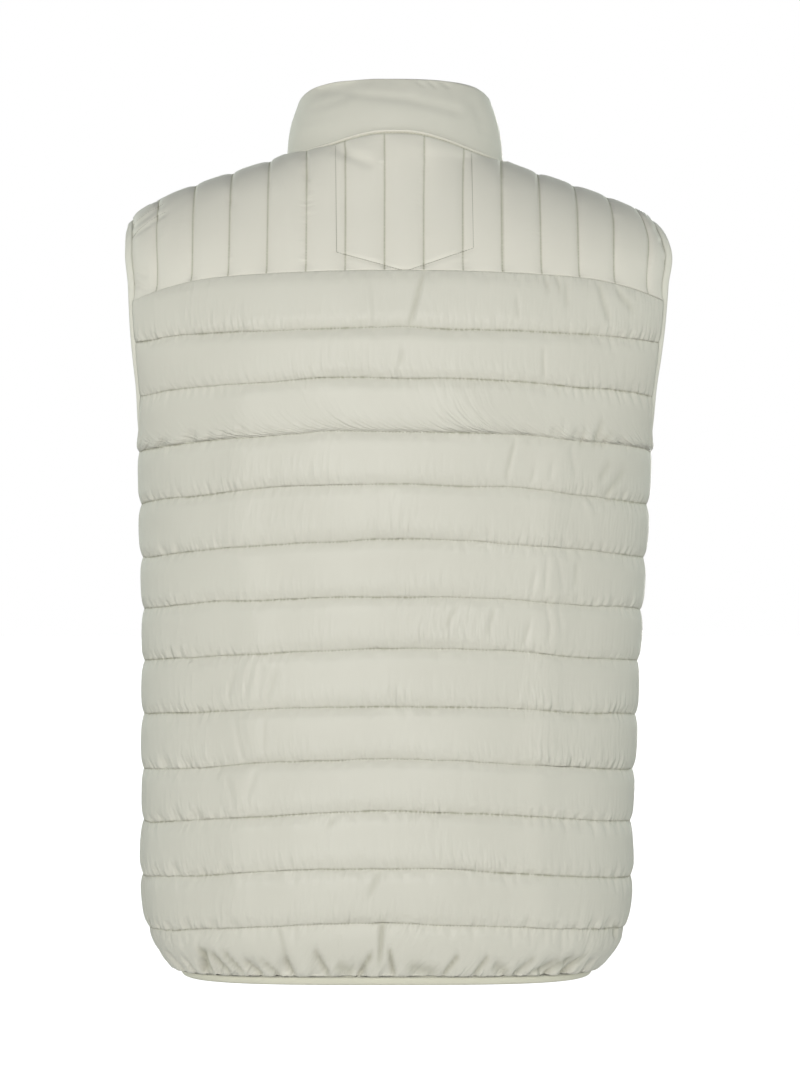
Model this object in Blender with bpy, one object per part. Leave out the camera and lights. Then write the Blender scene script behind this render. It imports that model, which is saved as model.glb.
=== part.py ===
"""Quilted outdoor vest with padded panels, a stand collar, elastic bindings and a front zip.

Metres, +Z up. The front faces -Y and the back +Y, so the wearer's left is +X. The origin lies
between the two points where the shoulders meet the neck, where the wearer carries the vest.
The vest is filled out as if worn, and hollow: every panel is a wall over one smooth form.
"""
import math
from collections import namedtuple

import bmesh
import bpy
import numpy as np

# Cloth
SEAM_GAP = 0.0003        # between two pieces that are sewn together
WALL = 0.0025            # panel pressed flat under a line of stitching
BODY_LOFT = 0.0065       # rise of a level channel above its stitch lines
YOKE_LOFT = 0.0042       # rise of an upright channel
EDGE_SHARE = 0.40        # share of the loft left beside a sewn edge
ROW_STEPS = (0.0, 0.15, 0.5, 0.85)      # mesh rows inside one channel
UNDERARM_STEPS = (0.0, 0.15, 0.5, 0.75, 0.9)
GATHER_DEPTH = 0.0035    # folds that the hem elastic draws up

# Armhole seen from the side, as an oval about the top of the side seam
ARMHOLE_TOP = -0.051
ARMHOLE_FOOT = -0.2456
ARMHOLE_BACK = 0.058
ARMHOLE_FRONT = 0.068
ARMHOLE_POWER = 2.2
ARMHOLE_TAPE = 0.0085
ARMHOLE_TAPE_THICK = 0.0030

# Neck seam seen from above, as an oval
NECK_HALF = 0.092
NECK_BACK = 0.0765
NECK_FRONT = 0.0935
NECK_CENTRE = 0.0042           # the neck sits a little to the wearer's left
SHOULDER_SEAM_BACK = 0.012     # the shoulder seam lies this far behind the ridge at its outer end

# Collar
COLLAR_THICK = 0.0050
COLLAR_TOP_HALF = 0.0815
COLLAR_TOP_BACK = 0.0570
COLLAR_TOP_FRONT = 0.0800
COLLAR_TOP_LEVELS = (0.0630, 0.0460, 0.0)      # top edge at the back, the sides and the front
COLLAR_BULGE = 0.0030

# Yoke, hem and zip
YOKE_PITCH = 0.0318
YOKE_LINES = 7           # upright stitch lines on each side of the centre
BACK_CENTRE = -0.0033    # middle of the back yoke's quilting
FRONT_CENTRE = 0.0015    # zip line at the front yokes and the collar
YOKE_REACH = 0.2255
HEM_TAPE = 0.0090
HEM_TAPE_THICK = 0.0032
ZIP_SLOT = 0.0070        # from the centre line to the edge of each front
CHAIN_HALF = 0.0026
CHAIN_THICK = 0.0024
TAPE_THICK = 0.0010
ZIP_FOOT = -0.6835
ZIP_BOX = 0.0098         # length of the retaining box at the foot

Section = namedtuple("Section", "level centre half_width back front power")
# Level sections through the form that the panels lie on, from the hem up to the nape.
SECTIONS = (
    Section(-0.7000, 0.0115, 0.1640, 0.1040, 0.1040, 2.30),
    Section(-0.6800, 0.0115, 0.1745, 0.1090, 0.1090, 2.30),
    Section(-0.6550, 0.0115, 0.1925, 0.1165, 0.1150, 2.30),
    Section(-0.6200, 0.0113, 0.1998, 0.1205, 0.1185, 2.30),
    Section(-0.5600, 0.0110, 0.2005, 0.1210, 0.1205, 2.30),
    Section(-0.4900, 0.0093, 0.2022, 0.1195, 0.1220, 2.30),
    Section(-0.4300, 0.0078, 0.2032, 0.1185, 0.1245, 2.30),
    Section(-0.3700, 0.0064, 0.2050, 0.1195, 0.1270, 2.30),
    Section(-0.3100, 0.0053, 0.2080, 0.1220, 0.1290, 2.30),
    Section(-0.2456, 0.0042, 0.2115, 0.1245, 0.1295, 2.30),
    Section(-0.2000, 0.0032, 0.2235, 0.1255, 0.1280, 2.30),
    Section(-0.1700, 0.0026, 0.2320, 0.1250, 0.1255, 2.30),
    Section(-0.1400, 0.0020, 0.2370, 0.1230, 0.1210, 2.30),
    Section(-0.1100, 0.0015, 0.2395, 0.1180, 0.1135, 2.25),
    Section(-0.0800, 0.0015, 0.2385, 0.1095, 0.1030, 2.15),
    Section(-0.0600, 0.0050, 0.2265, 0.1025, 0.0955, 2.00),
    Section(-0.0475, 0.0085, 0.2110, 0.0975, 0.0910, 1.90),
    Section(-0.0346, 0.0125, 0.1835, 0.0930, 0.0862, 1.85),
    Section(-0.0216, 0.0135, 0.1450, 0.0885, 0.0814, 1.85),
    Section(-0.0080, 0.0110, 0.1030, 0.0840, 0.0764, 2.00),
    Section(0.0000, 0.0060, 0.0860, 0.0810, 0.0735, 2.15),
    Section(0.0130, 0.0042, 0.0650, 0.0755, 0.0685, 2.30),
    Section(0.0250, 0.0042, 0.0450, 0.0690, 0.0640, 2.30),
)
LEVELS = np.array([s.level for s in SECTIONS])
VALUES = np.array([s[1:] for s in SECTIONS])
SLOPES = np.gradient(VALUES, LEVELS, axis=0)

Row = namedtuple("Row", "level side_drop")
# Level stitch rows at the centre back, and how much lower each lies at the sides.
ROWS = (
    Row(-0.1038, 0.0085),
    Row(-0.1500, 0.0070),
    Row(-0.1905, 0.0105),
    Row(-0.2335, 0.0121),
    Row(-0.2765, 0.0146),
    Row(-0.3219, 0.0143),
    Row(-0.3673, 0.0130),
    Row(-0.4102, 0.0139),
    Row(-0.4572, 0.0120),
    Row(-0.5010, 0.0145),
    Row(-0.5431, 0.0160),
    Row(-0.5893, 0.0160),
    Row(-0.6339, 0.0145),
    Row(-0.6765, 0.0060),
)
SIDE_X = 0.205           # half width at which a row has its whole side drop
LAST_ROW = len(ROWS) - 1


def section(level):
    """Centre, half width, back, front and power of the form at a level."""
    level = np.clip(np.asarray(level, float), LEVELS[0], LEVELS[-1])
    i = np.clip(np.searchsorted(LEVELS, level) - 1, 0, len(LEVELS) - 2)
    span = (LEVELS[i + 1] - LEVELS[i])[..., None]
    t = (level - LEVELS[i])[..., None] / span
    rise = t * t * (3 - 2 * t)
    bend = span * (t * (1 - t) ** 2 * SLOPES[i] - t * t * (1 - t) * SLOPES[i + 1])
    return np.moveaxis(VALUES[i] * (1 - rise) + VALUES[i + 1] * rise + bend, -1, 0)


def reach(x, y, z):
    """Below one inside the form and one on its surface."""
    centre, half, back, front, power = section(z)
    depth = np.where(np.asarray(y) > 0, back, front)
    return (np.abs(x - centre) / half) ** power + (np.abs(y) / depth) ** power


def normals(points):
    """Outward unit normals of the form at points on it."""
    step = 2e-5
    slope = np.zeros_like(points)
    for axis in range(3):
        ahead = points.copy()
        behind = points.copy()
        ahead[..., axis] += step
        behind[..., axis] -= step
        slope[..., axis] = reach(*np.moveaxis(ahead, -1, 0)) - reach(*np.moveaxis(behind, -1, 0))
    return slope / np.linalg.norm(slope, axis=-1, keepdims=True)


def row_level(row, x):
    """Height of a stitch row, whole or between two rows, at a distance from the centre line."""
    numbers = np.arange(len(ROWS))
    level = np.interp(row, numbers, [r.level for r in ROWS])
    drop = np.interp(row, numbers, [r.side_drop for r in ROWS])
    return level - drop * np.minimum(1.05, np.abs(x) / SIDE_X) ** 2


def outside_armhole(y, z):
    """Positive on the panels, zero at the armhole edge and negative inside the armhole."""
    middle = (ARMHOLE_TOP + ARMHOLE_FOOT) / 2
    half = (ARMHOLE_TOP - ARMHOLE_FOOT) / 2
    width = np.where(np.asarray(y) > 0, ARMHOLE_BACK, ARMHOLE_FRONT)
    return (np.abs(y) / width) ** ARMHOLE_POWER + (np.abs(z - middle) / half) ** ARMHOLE_POWER - 1


def side_seam(side, z):
    """The vest is turned a little at the hem, so the wearer's left side seam runs to the back."""
    if side < 0:
        return 0.0 * z
    t = np.clip((-0.46 - z) / 0.18, 0.0, 1.0)
    return 0.030 * t * t * (3 - 2 * t)


def panel_edge(side, facing, z):
    """Depth at which a body panel ends: at the armhole, or at the side seam under it."""
    middle = (ARMHOLE_TOP + ARMHOLE_FOOT) / 2
    half = (ARMHOLE_TOP - ARMHOLE_FOOT) / 2
    width = ARMHOLE_BACK if facing > 0 else ARMHOLE_FRONT
    share = np.clip(1 - (np.abs(z - middle) / half) ** ARMHOLE_POWER, 0.0, 1.0)
    hole = facing * width * share ** (1 / ARMHOLE_POWER)
    seam = side_seam(side, z) + facing * SEAM_GAP / 2
    wider = np.maximum(hole, seam) if facing > 0 else np.minimum(hole, seam)
    return np.where(share > 0.0, wider, seam)


def on_ring(row, angle, trim=0.0):
    """Points of body rows at angles round the form, from 0 at the centre back to pi at the front."""
    side = np.sign(angle)
    turn = np.abs(angle)
    x = 0.1 * np.ones_like(row + turn)
    for _ in range(8):
        z = row_level(row, x) + trim
        centre, half, back, front, power = section(z)
        x = half * np.abs(np.sin(turn)) ** (2 / power)
    depth = np.where(turn < math.pi / 2, back, -front)
    y = depth * np.abs(np.cos(turn)) ** (2 / power)
    return np.stack([centre + side * x, y, z], axis=-1)


def edge_angle(row, side, facing, trim=0.0):
    """Angle at which a body row meets the armhole or the side seam."""
    x = 0.2 * np.ones_like(row)
    for _ in range(12):
        z = row_level(row, x) + trim
        centre, half, back, front, power = section(z)
        y = panel_edge(side, facing, z)
        depth = np.where(y > 0, back, front)
        angle = np.arccos(np.minimum(1.0, np.abs(y) / depth) ** (power / 2))
        x = half * np.sin(angle) ** (2 / power)
    return np.where(y > 0, angle, math.pi - angle)


def zip_angle(row, trim=0.0):
    """Angle at which a front row meets the zip slot."""
    z = row_level(row, ZIP_SLOT) + trim
    centre, half, back, front, power = section(z)
    return math.pi - np.arcsin((ZIP_SLOT / half) ** (power / 2))


def swell(v, loft):
    """Rise of a quilted channel at a share of its width."""
    return loft * (1 - np.abs(2 * v - 1) ** 2.6)


def edge_fade(distance):
    """Loft left at a distance in metres from a sewn edge."""
    t = np.clip(distance / 0.016, 0.0, 1.0)
    return EDGE_SHARE + (1 - EDGE_SHARE) * t * (2 - t)


def yoke_fade(points, facing, length):
    """Loft left on a yoke near its neck, shoulder, yoke and armhole seams."""
    x, y, z = np.moveaxis(points, -1, 0)
    out = np.abs(x - NECK_CENTRE)
    depth = NECK_BACK if facing > 0 else NECK_FRONT
    oval = np.where(facing * y > 0, np.hypot(out / NECK_HALF, y / depth), out / NECK_HALF)
    neck = (oval - 1) * NECK_BACK
    shoulder = np.where(out > NECK_HALF, np.abs(y - yoke_top(x, facing)), 1.0)
    seam = np.abs(z - row_level(0.0, x))
    sewn = np.minimum(np.minimum(neck, shoulder), np.minimum(seam, length))
    return edge_fade(np.maximum(sewn, 0.0))


def bisect(inside, low, high):
    """Last value between low and high, for each element, at which a test still holds."""
    for _ in range(22):
        middle = (low + high) / 2
        held = inside(middle)
        low = np.where(held, middle, low)
        high = np.where(held, high, middle)
    return low


def on_ray(x, angle):
    """Point of the form at x, on a ray that turns from the back over the shoulder to the front."""
    foot = row_level(0.0, x)
    dy = np.cos(angle)
    dz = np.sin(angle)
    length = bisect(lambda r: reach(x, r * dy, foot + r * dz) < 1, 0.0 * dy, 0.3 + 0.0 * dy)
    return length * dy, foot + length * dz


def yoke_top(x, facing):
    """Depth at which a yoke ends: at the neck seam, or at the shoulder seam beside it."""
    out = np.abs(x - NECK_CENTRE)
    depth = NECK_BACK if facing > 0 else NECK_FRONT
    neck = facing * depth * np.sqrt(np.clip(1 - (out / NECK_HALF) ** 2, 0.0, 1.0))
    run = np.clip((out - NECK_HALF) / 0.12, 0.0, 1.0)
    seam = SHOULDER_SEAM_BACK * run ** 1.5 + facing * SEAM_GAP / 2
    return np.where(out < NECK_HALF - 1e-6, neck, seam)


def yoke_point(x, t, facing):
    """Point of a yoke at x and at a share of its way from the yoke seam to the top."""
    start = 0.0 if facing > 0 else math.pi
    target = yoke_top(x, facing)
    if facing > 0:
        top = bisect(lambda a: on_ray(x, a)[0] > target, 0.0 * x, math.pi + 0.0 * x)
    else:
        top = math.pi - bisect(lambda a: on_ray(x, math.pi - a)[0] < target, 0.0 * x, math.pi + 0.0 * x)
    # The first ray starts half a gap above the seam.
    lift = SEAM_GAP / 2 / 0.1
    first = start + lift if facing > 0 else start - lift
    y, z = on_ray(x, first + (top - first) * t)
    return np.stack([x + 0.0 * y, y, z], axis=-1)


def yoke_rise(x, middle):
    """Loft of the upright channels at x, with stitch lines spaced from a middle."""
    out = np.abs(x - middle) / YOKE_PITCH + 0.5
    last = (out - YOKE_LINES) / (YOKE_REACH / YOKE_PITCH + 0.5 - YOKE_LINES)
    v = np.where(out < YOKE_LINES, out % 1.0, np.clip(last, 0.0, 1.0))
    return swell(v, YOKE_LOFT)


def yoke_columns(side, middle, inner):
    """Mesh columns on one side of a yoke, from its inner edge out to the armhole."""
    found = []
    for k in range(YOKE_LINES + 1):
        left = middle + side * YOKE_PITCH * (k - 0.5)
        right = middle + side * YOKE_PITCH * (k + 0.5) if k < YOKE_LINES else side * YOKE_REACH
        found += [left + v * (right - left) for v in ROW_STEPS]
    corner = [NECK_CENTRE + side * NECK_HALF * math.sin(math.radians(turn)) for turn in (70, 80, 90)]
    clear = [x for x in found if min(abs(x - c) for c in corner) > 0.003]
    columns = [x for x in clear + corner if side * (x - inner) > 0.002]
    return sorted(columns + [inner, side * YOKE_REACH], key=lambda x: side * x)


def new_object(name, bm, colour):
    bm.normal_update()
    bmesh.ops.recalc_face_normals(bm, faces=bm.faces)
    mesh = bpy.data.meshes.new(name)
    bm.to_mesh(mesh)
    bm.free()
    obj = bpy.data.objects.new(name, mesh)
    bpy.context.scene.collection.objects.link(obj)
    material = bpy.data.materials.new(name)
    material.use_nodes = True
    shader = material.node_tree.nodes["Principled BSDF"]
    shader.inputs["Base Color"].default_value = (*colour, 1.0)
    shader.inputs["Roughness"].default_value = 0.6
    mesh.materials.append(material)
    return obj


def wall(name, outer, inner, inner_rows, colour):
    """Closed wall between rows of outer points and fewer rows of inner points.

    A row with twice as many columns follows a row without by faces of five corners.
    """
    bm = bmesh.new()
    shell = [[bm.verts.new(p) for p in row] for row in outer]
    lining = {r: [bm.verts.new(p) for p in inner[r]] for r in inner_rows}

    def strip(upper, lower):
        if len(upper) == len(lower):
            for c in range(len(upper) - 1):
                bm.faces.new((upper[c], upper[c + 1], lower[c + 1], lower[c]))
        else:
            for c in range(len(upper) - 1):
                bm.faces.new((upper[c], upper[c + 1], *lower[2 * c:2 * c + 3][::-1]))

    for upper, lower in zip(shell, shell[1:]):
        strip(upper, lower)
    for r, s in zip(inner_rows, inner_rows[1:]):
        strip(lining[r], lining[s])
        for end in (0, -1):
            rim = [shell[k][end] for k in range(r, s + 1)] + [lining[s][end]]
            for first, second in zip(rim, rim[1:]):
                bm.faces.new((lining[r][end], first, second))
    strip(lining[inner_rows[0]], shell[0])
    strip(lining[inner_rows[-1]], shell[-1])
    return new_object(name, bm, colour)


def loft(name, rings, closed, colour):
    """Solid through rings of points, round a loop or between two flat ends."""
    bm = bmesh.new()
    loops = [[bm.verts.new(p) for p in ring] for ring in rings]
    pairs = list(zip(loops, loops[1:]))
    if closed:
        pairs.append((loops[-1], loops[0]))
    for first, second in pairs:
        for k in range(len(first)):
            n = (k + 1) % len(first)
            bm.faces.new((first[k], first[n], second[n], second[k]))
    if not closed:
        bm.faces.new(loops[0])
        bm.faces.new(loops[-1])
    return new_object(name, bm, colour)


def body_rows():
    """Row numbers of the mesh rows of a body panel, and which of them the inside keeps."""
    rows = []
    kept = []
    for k in range(LAST_ROW):
        for v in UNDERARM_STEPS if k == 2 else ROW_STEPS:
            if k < 3 or v == 0.0:
                kept.append(len(rows))
            rows.append(k + v)
    rows.append(float(LAST_ROW))
    kept.append(len(rows) - 1)
    return rows, kept


def body_panel(name, facing, side, columns, colour):
    """Quilted body panel. Returns its edge points beside the armhole, from the top down."""
    rows, kept = body_rows()
    outer = []
    inner = []
    edges = {-1: [], 1: []}
    for r in rows:
        row = np.array(float(r))
        trim = -SEAM_GAP / 2 if r == 0 else 0.0
        if facing > 0:
            ends = (-edge_angle(row, -1, 1, trim), edge_angle(row, 1, 1, trim))
        else:
            ends = (side * zip_angle(row, trim), side * edge_angle(row, side, -1, trim))
        gathered = r > LAST_ROW - 0.6
        count = 2 * columns if gathered else columns
        share = np.linspace(0.0, 1.0, count + 1)
        angle = ends[0] + (ends[1] - ends[0]) * share
        base = on_ring(row + 0.0 * angle, angle, trim)
        out = normals(base)
        length = np.linalg.norm(np.diff(base, axis=0), axis=1).sum()
        fade = edge_fade(np.minimum(share, 1 - share) * length)
        rise = swell(r % 1.0, BODY_LOFT) * fade
        if gathered:
            fold = np.where(np.arange(count + 1) % 2 == 1, 1.0, 0.0)
            rise = rise + GATHER_DEPTH * fold * (r - LAST_ROW + 0.6) / 0.6
        outer.append(base + out * (WALL + rise)[:, None])
        inner.append(base[::2] if gathered else base)
        for end, sign in ((0, -1), (-1, 1)):
            if facing < 0 and end == 0:
                continue
            sign = sign if facing > 0 else side
            if base[end, 2] > ARMHOLE_FOOT - 0.0015:
                edges[sign].append((base[end], out[end]))
    wall(name, outer, inner, kept, colour)
    return edges


def yoke_panel(name, facing, side, colour):
    """Quilted yoke. Returns its armhole edges and its neck edge."""
    if facing > 0:
        middle = BACK_CENTRE
        right = yoke_columns(-1, middle, middle)
        xs = np.array(right[:0:-1] + yoke_columns(1, middle, middle))
    else:
        middle = FRONT_CENTRE
        xs = np.array(yoke_columns(side, middle, middle + side * ZIP_SLOT))
    rises = yoke_rise(xs, middle)
    sides = YOKE_REACH - np.abs(xs)
    if facing < 0:
        sides = np.minimum(sides, np.abs(xs - xs[0]))
    rises[sides < 1e-9] = YOKE_LOFT
    shares = np.array([0.0, 0.1, 0.3, 0.5, 0.7, 0.9, 1.0])
    limits = {
        sign: bisect(
            lambda a: outside_armhole(*np.moveaxis(yoke_point(sign * a, shares, facing), -1, 0)[1:]) > 0,
            0.0 * shares + 0.15, 0.0 * shares + 0.236)
        for sign in ((-1, 1) if facing > 0 else (side,))}
    outer = []
    inner = []
    edges = {-1: [], 1: []}
    for k, t in enumerate(shares):
        x = xs.copy()
        for sign, limit in limits.items():
            shift = limit[k] - YOKE_REACH
            on_side = np.sign(xs) == sign
            outer_share = np.clip((np.abs(xs) - 0.11) / (YOKE_REACH - 0.11), 0.0, 1.0)
            x = np.where(on_side, xs + sign * shift * outer_share ** 2, x)
        base = yoke_point(x, t, facing)
        out = normals(base)
        rise = rises * yoke_fade(base, facing, sides)
        outer.append(base + out * (WALL + rise)[:, None])
        inner.append(base)
        for end in (0, -1):
            sign = int(np.sign(x[end]))
            if facing > 0 or end == -1:
                edges[sign].append((base[end], out[end]))
    wall(name, outer, inner, list(range(len(shares))), colour)
    neck = [p for p in inner[-1] if abs(p[0] - NECK_CENTRE) < NECK_HALF + 1e-4]
    return edges, neck


def cross_section(width, thick, gap):
    """Tape section beside an edge: (along the cloth from the edge, out from the form)."""
    soft = thick * 0.32
    return (
        (gap, 0.0), (gap + width - soft, 0.0), (gap + width, soft), (gap + width, thick - soft),
        (gap + width - soft, thick), (gap + soft, thick), (gap, thick - soft))


def tape_ring(name, edge, closed, width, thick, towards, colour):
    """Elastic tape swept along an edge of the panels, on the side that faces a point."""
    points = np.array([p for p, _ in edge])
    outs = np.array([n for _, n in edge])
    if closed:
        run = np.roll(points, -1, axis=0) - np.roll(points, 1, axis=0)
    else:
        run = np.gradient(points, axis=0)
    run /= np.linalg.norm(run, axis=1, keepdims=True)
    across = np.cross(run, outs)
    across /= np.linalg.norm(across, axis=1, keepdims=True)
    facing = np.sign(np.einsum("ij,ij->i", across, towards - points))
    across *= facing[:, None]
    rings = [
        [p + a * u + n * v for u, v in cross_section(width, thick, SEAM_GAP)]
        for p, a, n in zip(points, across, outs)]
    return loft(name, rings, closed, colour)


def collar_top_level(share):
    """Height of the collar's top edge; share is 1 at the back, 0 at the sides and -1 in front."""
    back, side, front = COLLAR_TOP_LEVELS
    return side + (back - front) / 2 * share + ((back + front) / 2 - side) * share * share


def collar_face(base):
    """Outer face of the collar over one point of the neck seam: foot and top points."""
    side = 1 if base[0] > FRONT_CENTRE else -1
    back = base[1] > 0
    foot = base.copy()
    to_centre = np.array([NECK_CENTRE, 0.0]) - base[:2]
    foot[:2] += SEAM_GAP * to_centre / np.linalg.norm(to_centre)
    # Beside the zip the collar keeps its place, and round the neck it narrows to its top.
    skew = side * (NECK_CENTRE - FRONT_CENTRE)
    out = side * (base[0] - FRONT_CENTRE)
    share = max(0.0, out - ZIP_SLOT) / (NECK_HALF + skew - ZIP_SLOT)
    top_out = min(out, ZIP_SLOT) + share * (COLLAR_TOP_HALF + skew - ZIP_SLOT)
    top_x = FRONT_CENTRE + side * top_out
    lean = math.sqrt(max(0.0, 1 - ((top_x - NECK_CENTRE) / COLLAR_TOP_HALF) ** 2))
    depth = COLLAR_TOP_BACK if back else -COLLAR_TOP_FRONT
    return foot, np.array([top_x, depth * lean, collar_top_level(lean if back else -lean)])


def collar_rings(neck):
    """Sections of the collar along the neck seam, each from its foot over the top to the inside."""
    faces = [collar_face(p) for p in neck]
    feet = np.array([f for f, _ in faces])
    run = np.gradient(feet, axis=0)
    rings = []
    for (foot, top), along in zip(faces, run):
        rise = top - foot
        out = np.cross(along, rise)
        out /= np.linalg.norm(out)
        if np.dot(out[:2], foot[:2]) < 0:
            out = -out
        up = rise / np.linalg.norm(rise)
        ring = []
        for v in (0.0, 0.3, 0.6, 0.93):
            ring.append(foot + rise * v + out * COLLAR_BULGE * math.sin(math.pi * v) ** 1.2)
        ring.append(top - out * COLLAR_THICK * 0.25)
        ring.append(top - out * COLLAR_THICK * 0.75)
        for v in (0.93, 0.6, 0.0):
            inward = out * (COLLAR_THICK - COLLAR_BULGE * math.sin(math.pi * v) ** 1.2)
            ring.append(foot + rise * v - inward)
        rings.append(ring)
    return rings


def zip_line(neck_front):
    """Points and outward directions up the centre front, from the hem to the top of the collar."""
    foot, top = collar_face(neck_front)
    levels = np.linspace(ZIP_FOOT, neck_front[2] - 0.012, 36)
    path = []
    for z in levels:
        centre, half, back, front, power = section(z)
        p = np.array([[centre, -front, z]])
        path.append(p[0] + normals(p)[0] * WALL * 0.55)
    for v in np.linspace(0.12, 0.985, 10):
        p = foot + (top - foot) * v
        path.append(np.array([FRONT_CENTRE, p[1] + COLLAR_THICK * 0.5, p[2]]))
    path = np.array(path)
    for _ in range(6):
        path[1:-1] = (path[:-2] + 2 * path[1:-1] + path[2:]) / 4
    path[:, 0] = np.where(path[:, 2] < ROWS[0].level, section(path[:, 2])[0], FRONT_CENTRE)
    run = np.gradient(path, axis=0)
    run[:, 0] = 0.0
    run /= np.linalg.norm(run, axis=1, keepdims=True)
    out = np.cross(np.array([1.0, 0.0, 0.0]), run)
    out *= np.where(out[:, 1] > 0, -1.0, 1.0)[:, None]
    return path, run, out


def stretch(path, out, start, stop):
    """Part of the zip line between two heights, with its outward directions."""
    levels = path[:, 2]
    kept = levels[(levels > start + 0.002) & (levels < stop - 0.002)]
    heights = np.concatenate([[start], kept, [stop]])
    place = np.stack([np.interp(heights, levels, path[:, k]) for k in range(3)], axis=-1)
    facing = np.stack([np.interp(heights, levels, out[:, k]) for k in range(3)], axis=-1)
    return place, facing / np.linalg.norm(facing, axis=1, keepdims=True)


def strip_rings(path, out, left, right, thick):
    """Rectangular sections along the zip between two distances from its centre line."""
    rings = []
    for p, n in zip(path, out):
        rings.append([
            p + np.array([x, 0.0, 0.0]) + n * y
            for x, y in ((left, -thick / 2), (right, -thick / 2), (right, thick / 2), (left, thick / 2))])
    return rings


def block(origin, up, out, spans):
    """Closed box in the zip's own directions: spans across, along and out of the cloth."""
    across = np.array([1.0, 0.0, 0.0])
    bm = bmesh.new()
    bmesh.ops.create_cube(bm, size=1.0)
    for vert in bm.verts:
        shares = [0.5 + c for c in vert.co]
        place = [lo + (hi - lo) * s for (lo, hi), s in zip(spans, shares)]
        vert.co = origin + across * place[0] + up * place[1] + out * place[2]
    return bm


def combine(name, bodies, operation, colour):
    """First body joined with, or cut by, the others."""
    main = new_object(name, bodies[0], colour)
    for k, bm in enumerate(bodies[1:]):
        tool = new_object(f"{name}_tool_{k}", bm, colour)
        tool.hide_render = True
        tool.display_type = "WIRE"
        modifier = main.modifiers.new(f"step_{k}", "BOOLEAN")
        modifier.operation = operation
        modifier.solver = "EXACT"
        modifier.object = tool
    return main


def plate(origin, up, out, outline, low, high):
    """Flat plate with an outline of (across, along) points and two levels out of the cloth."""
    across = np.array([1.0, 0.0, 0.0])
    bm = bmesh.new()
    loops = [[bm.verts.new(origin + across * x + up * u + out * level) for x, u in outline]
             for level in (low, high)]
    bm.faces.new(loops[0])
    bm.faces.new(loops[1])
    for k in range(len(outline)):
        n = (k + 1) % len(outline)
        bm.faces.new((loops[0][k], loops[0][n], loops[1][n], loops[1][k]))
    return bm


def rounded(half, low, high, radius, steps=4):
    """Outline of a rectangle about the centre line, with rounded corners."""
    corners = ((half, low, -90), (half, high, 0), (-half, high, 90), (-half, low, 180))
    points = []
    for x, u, start in corners:
        cx = x - math.copysign(radius, x)
        cu = u - math.copysign(radius, u - (low + high) / 2)
        for k in range(steps + 1):
            turn = math.radians(start + 90 * k / steps)
            points.append((cx + radius * math.cos(turn), cu + radius * math.sin(turn)))
    return points


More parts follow.
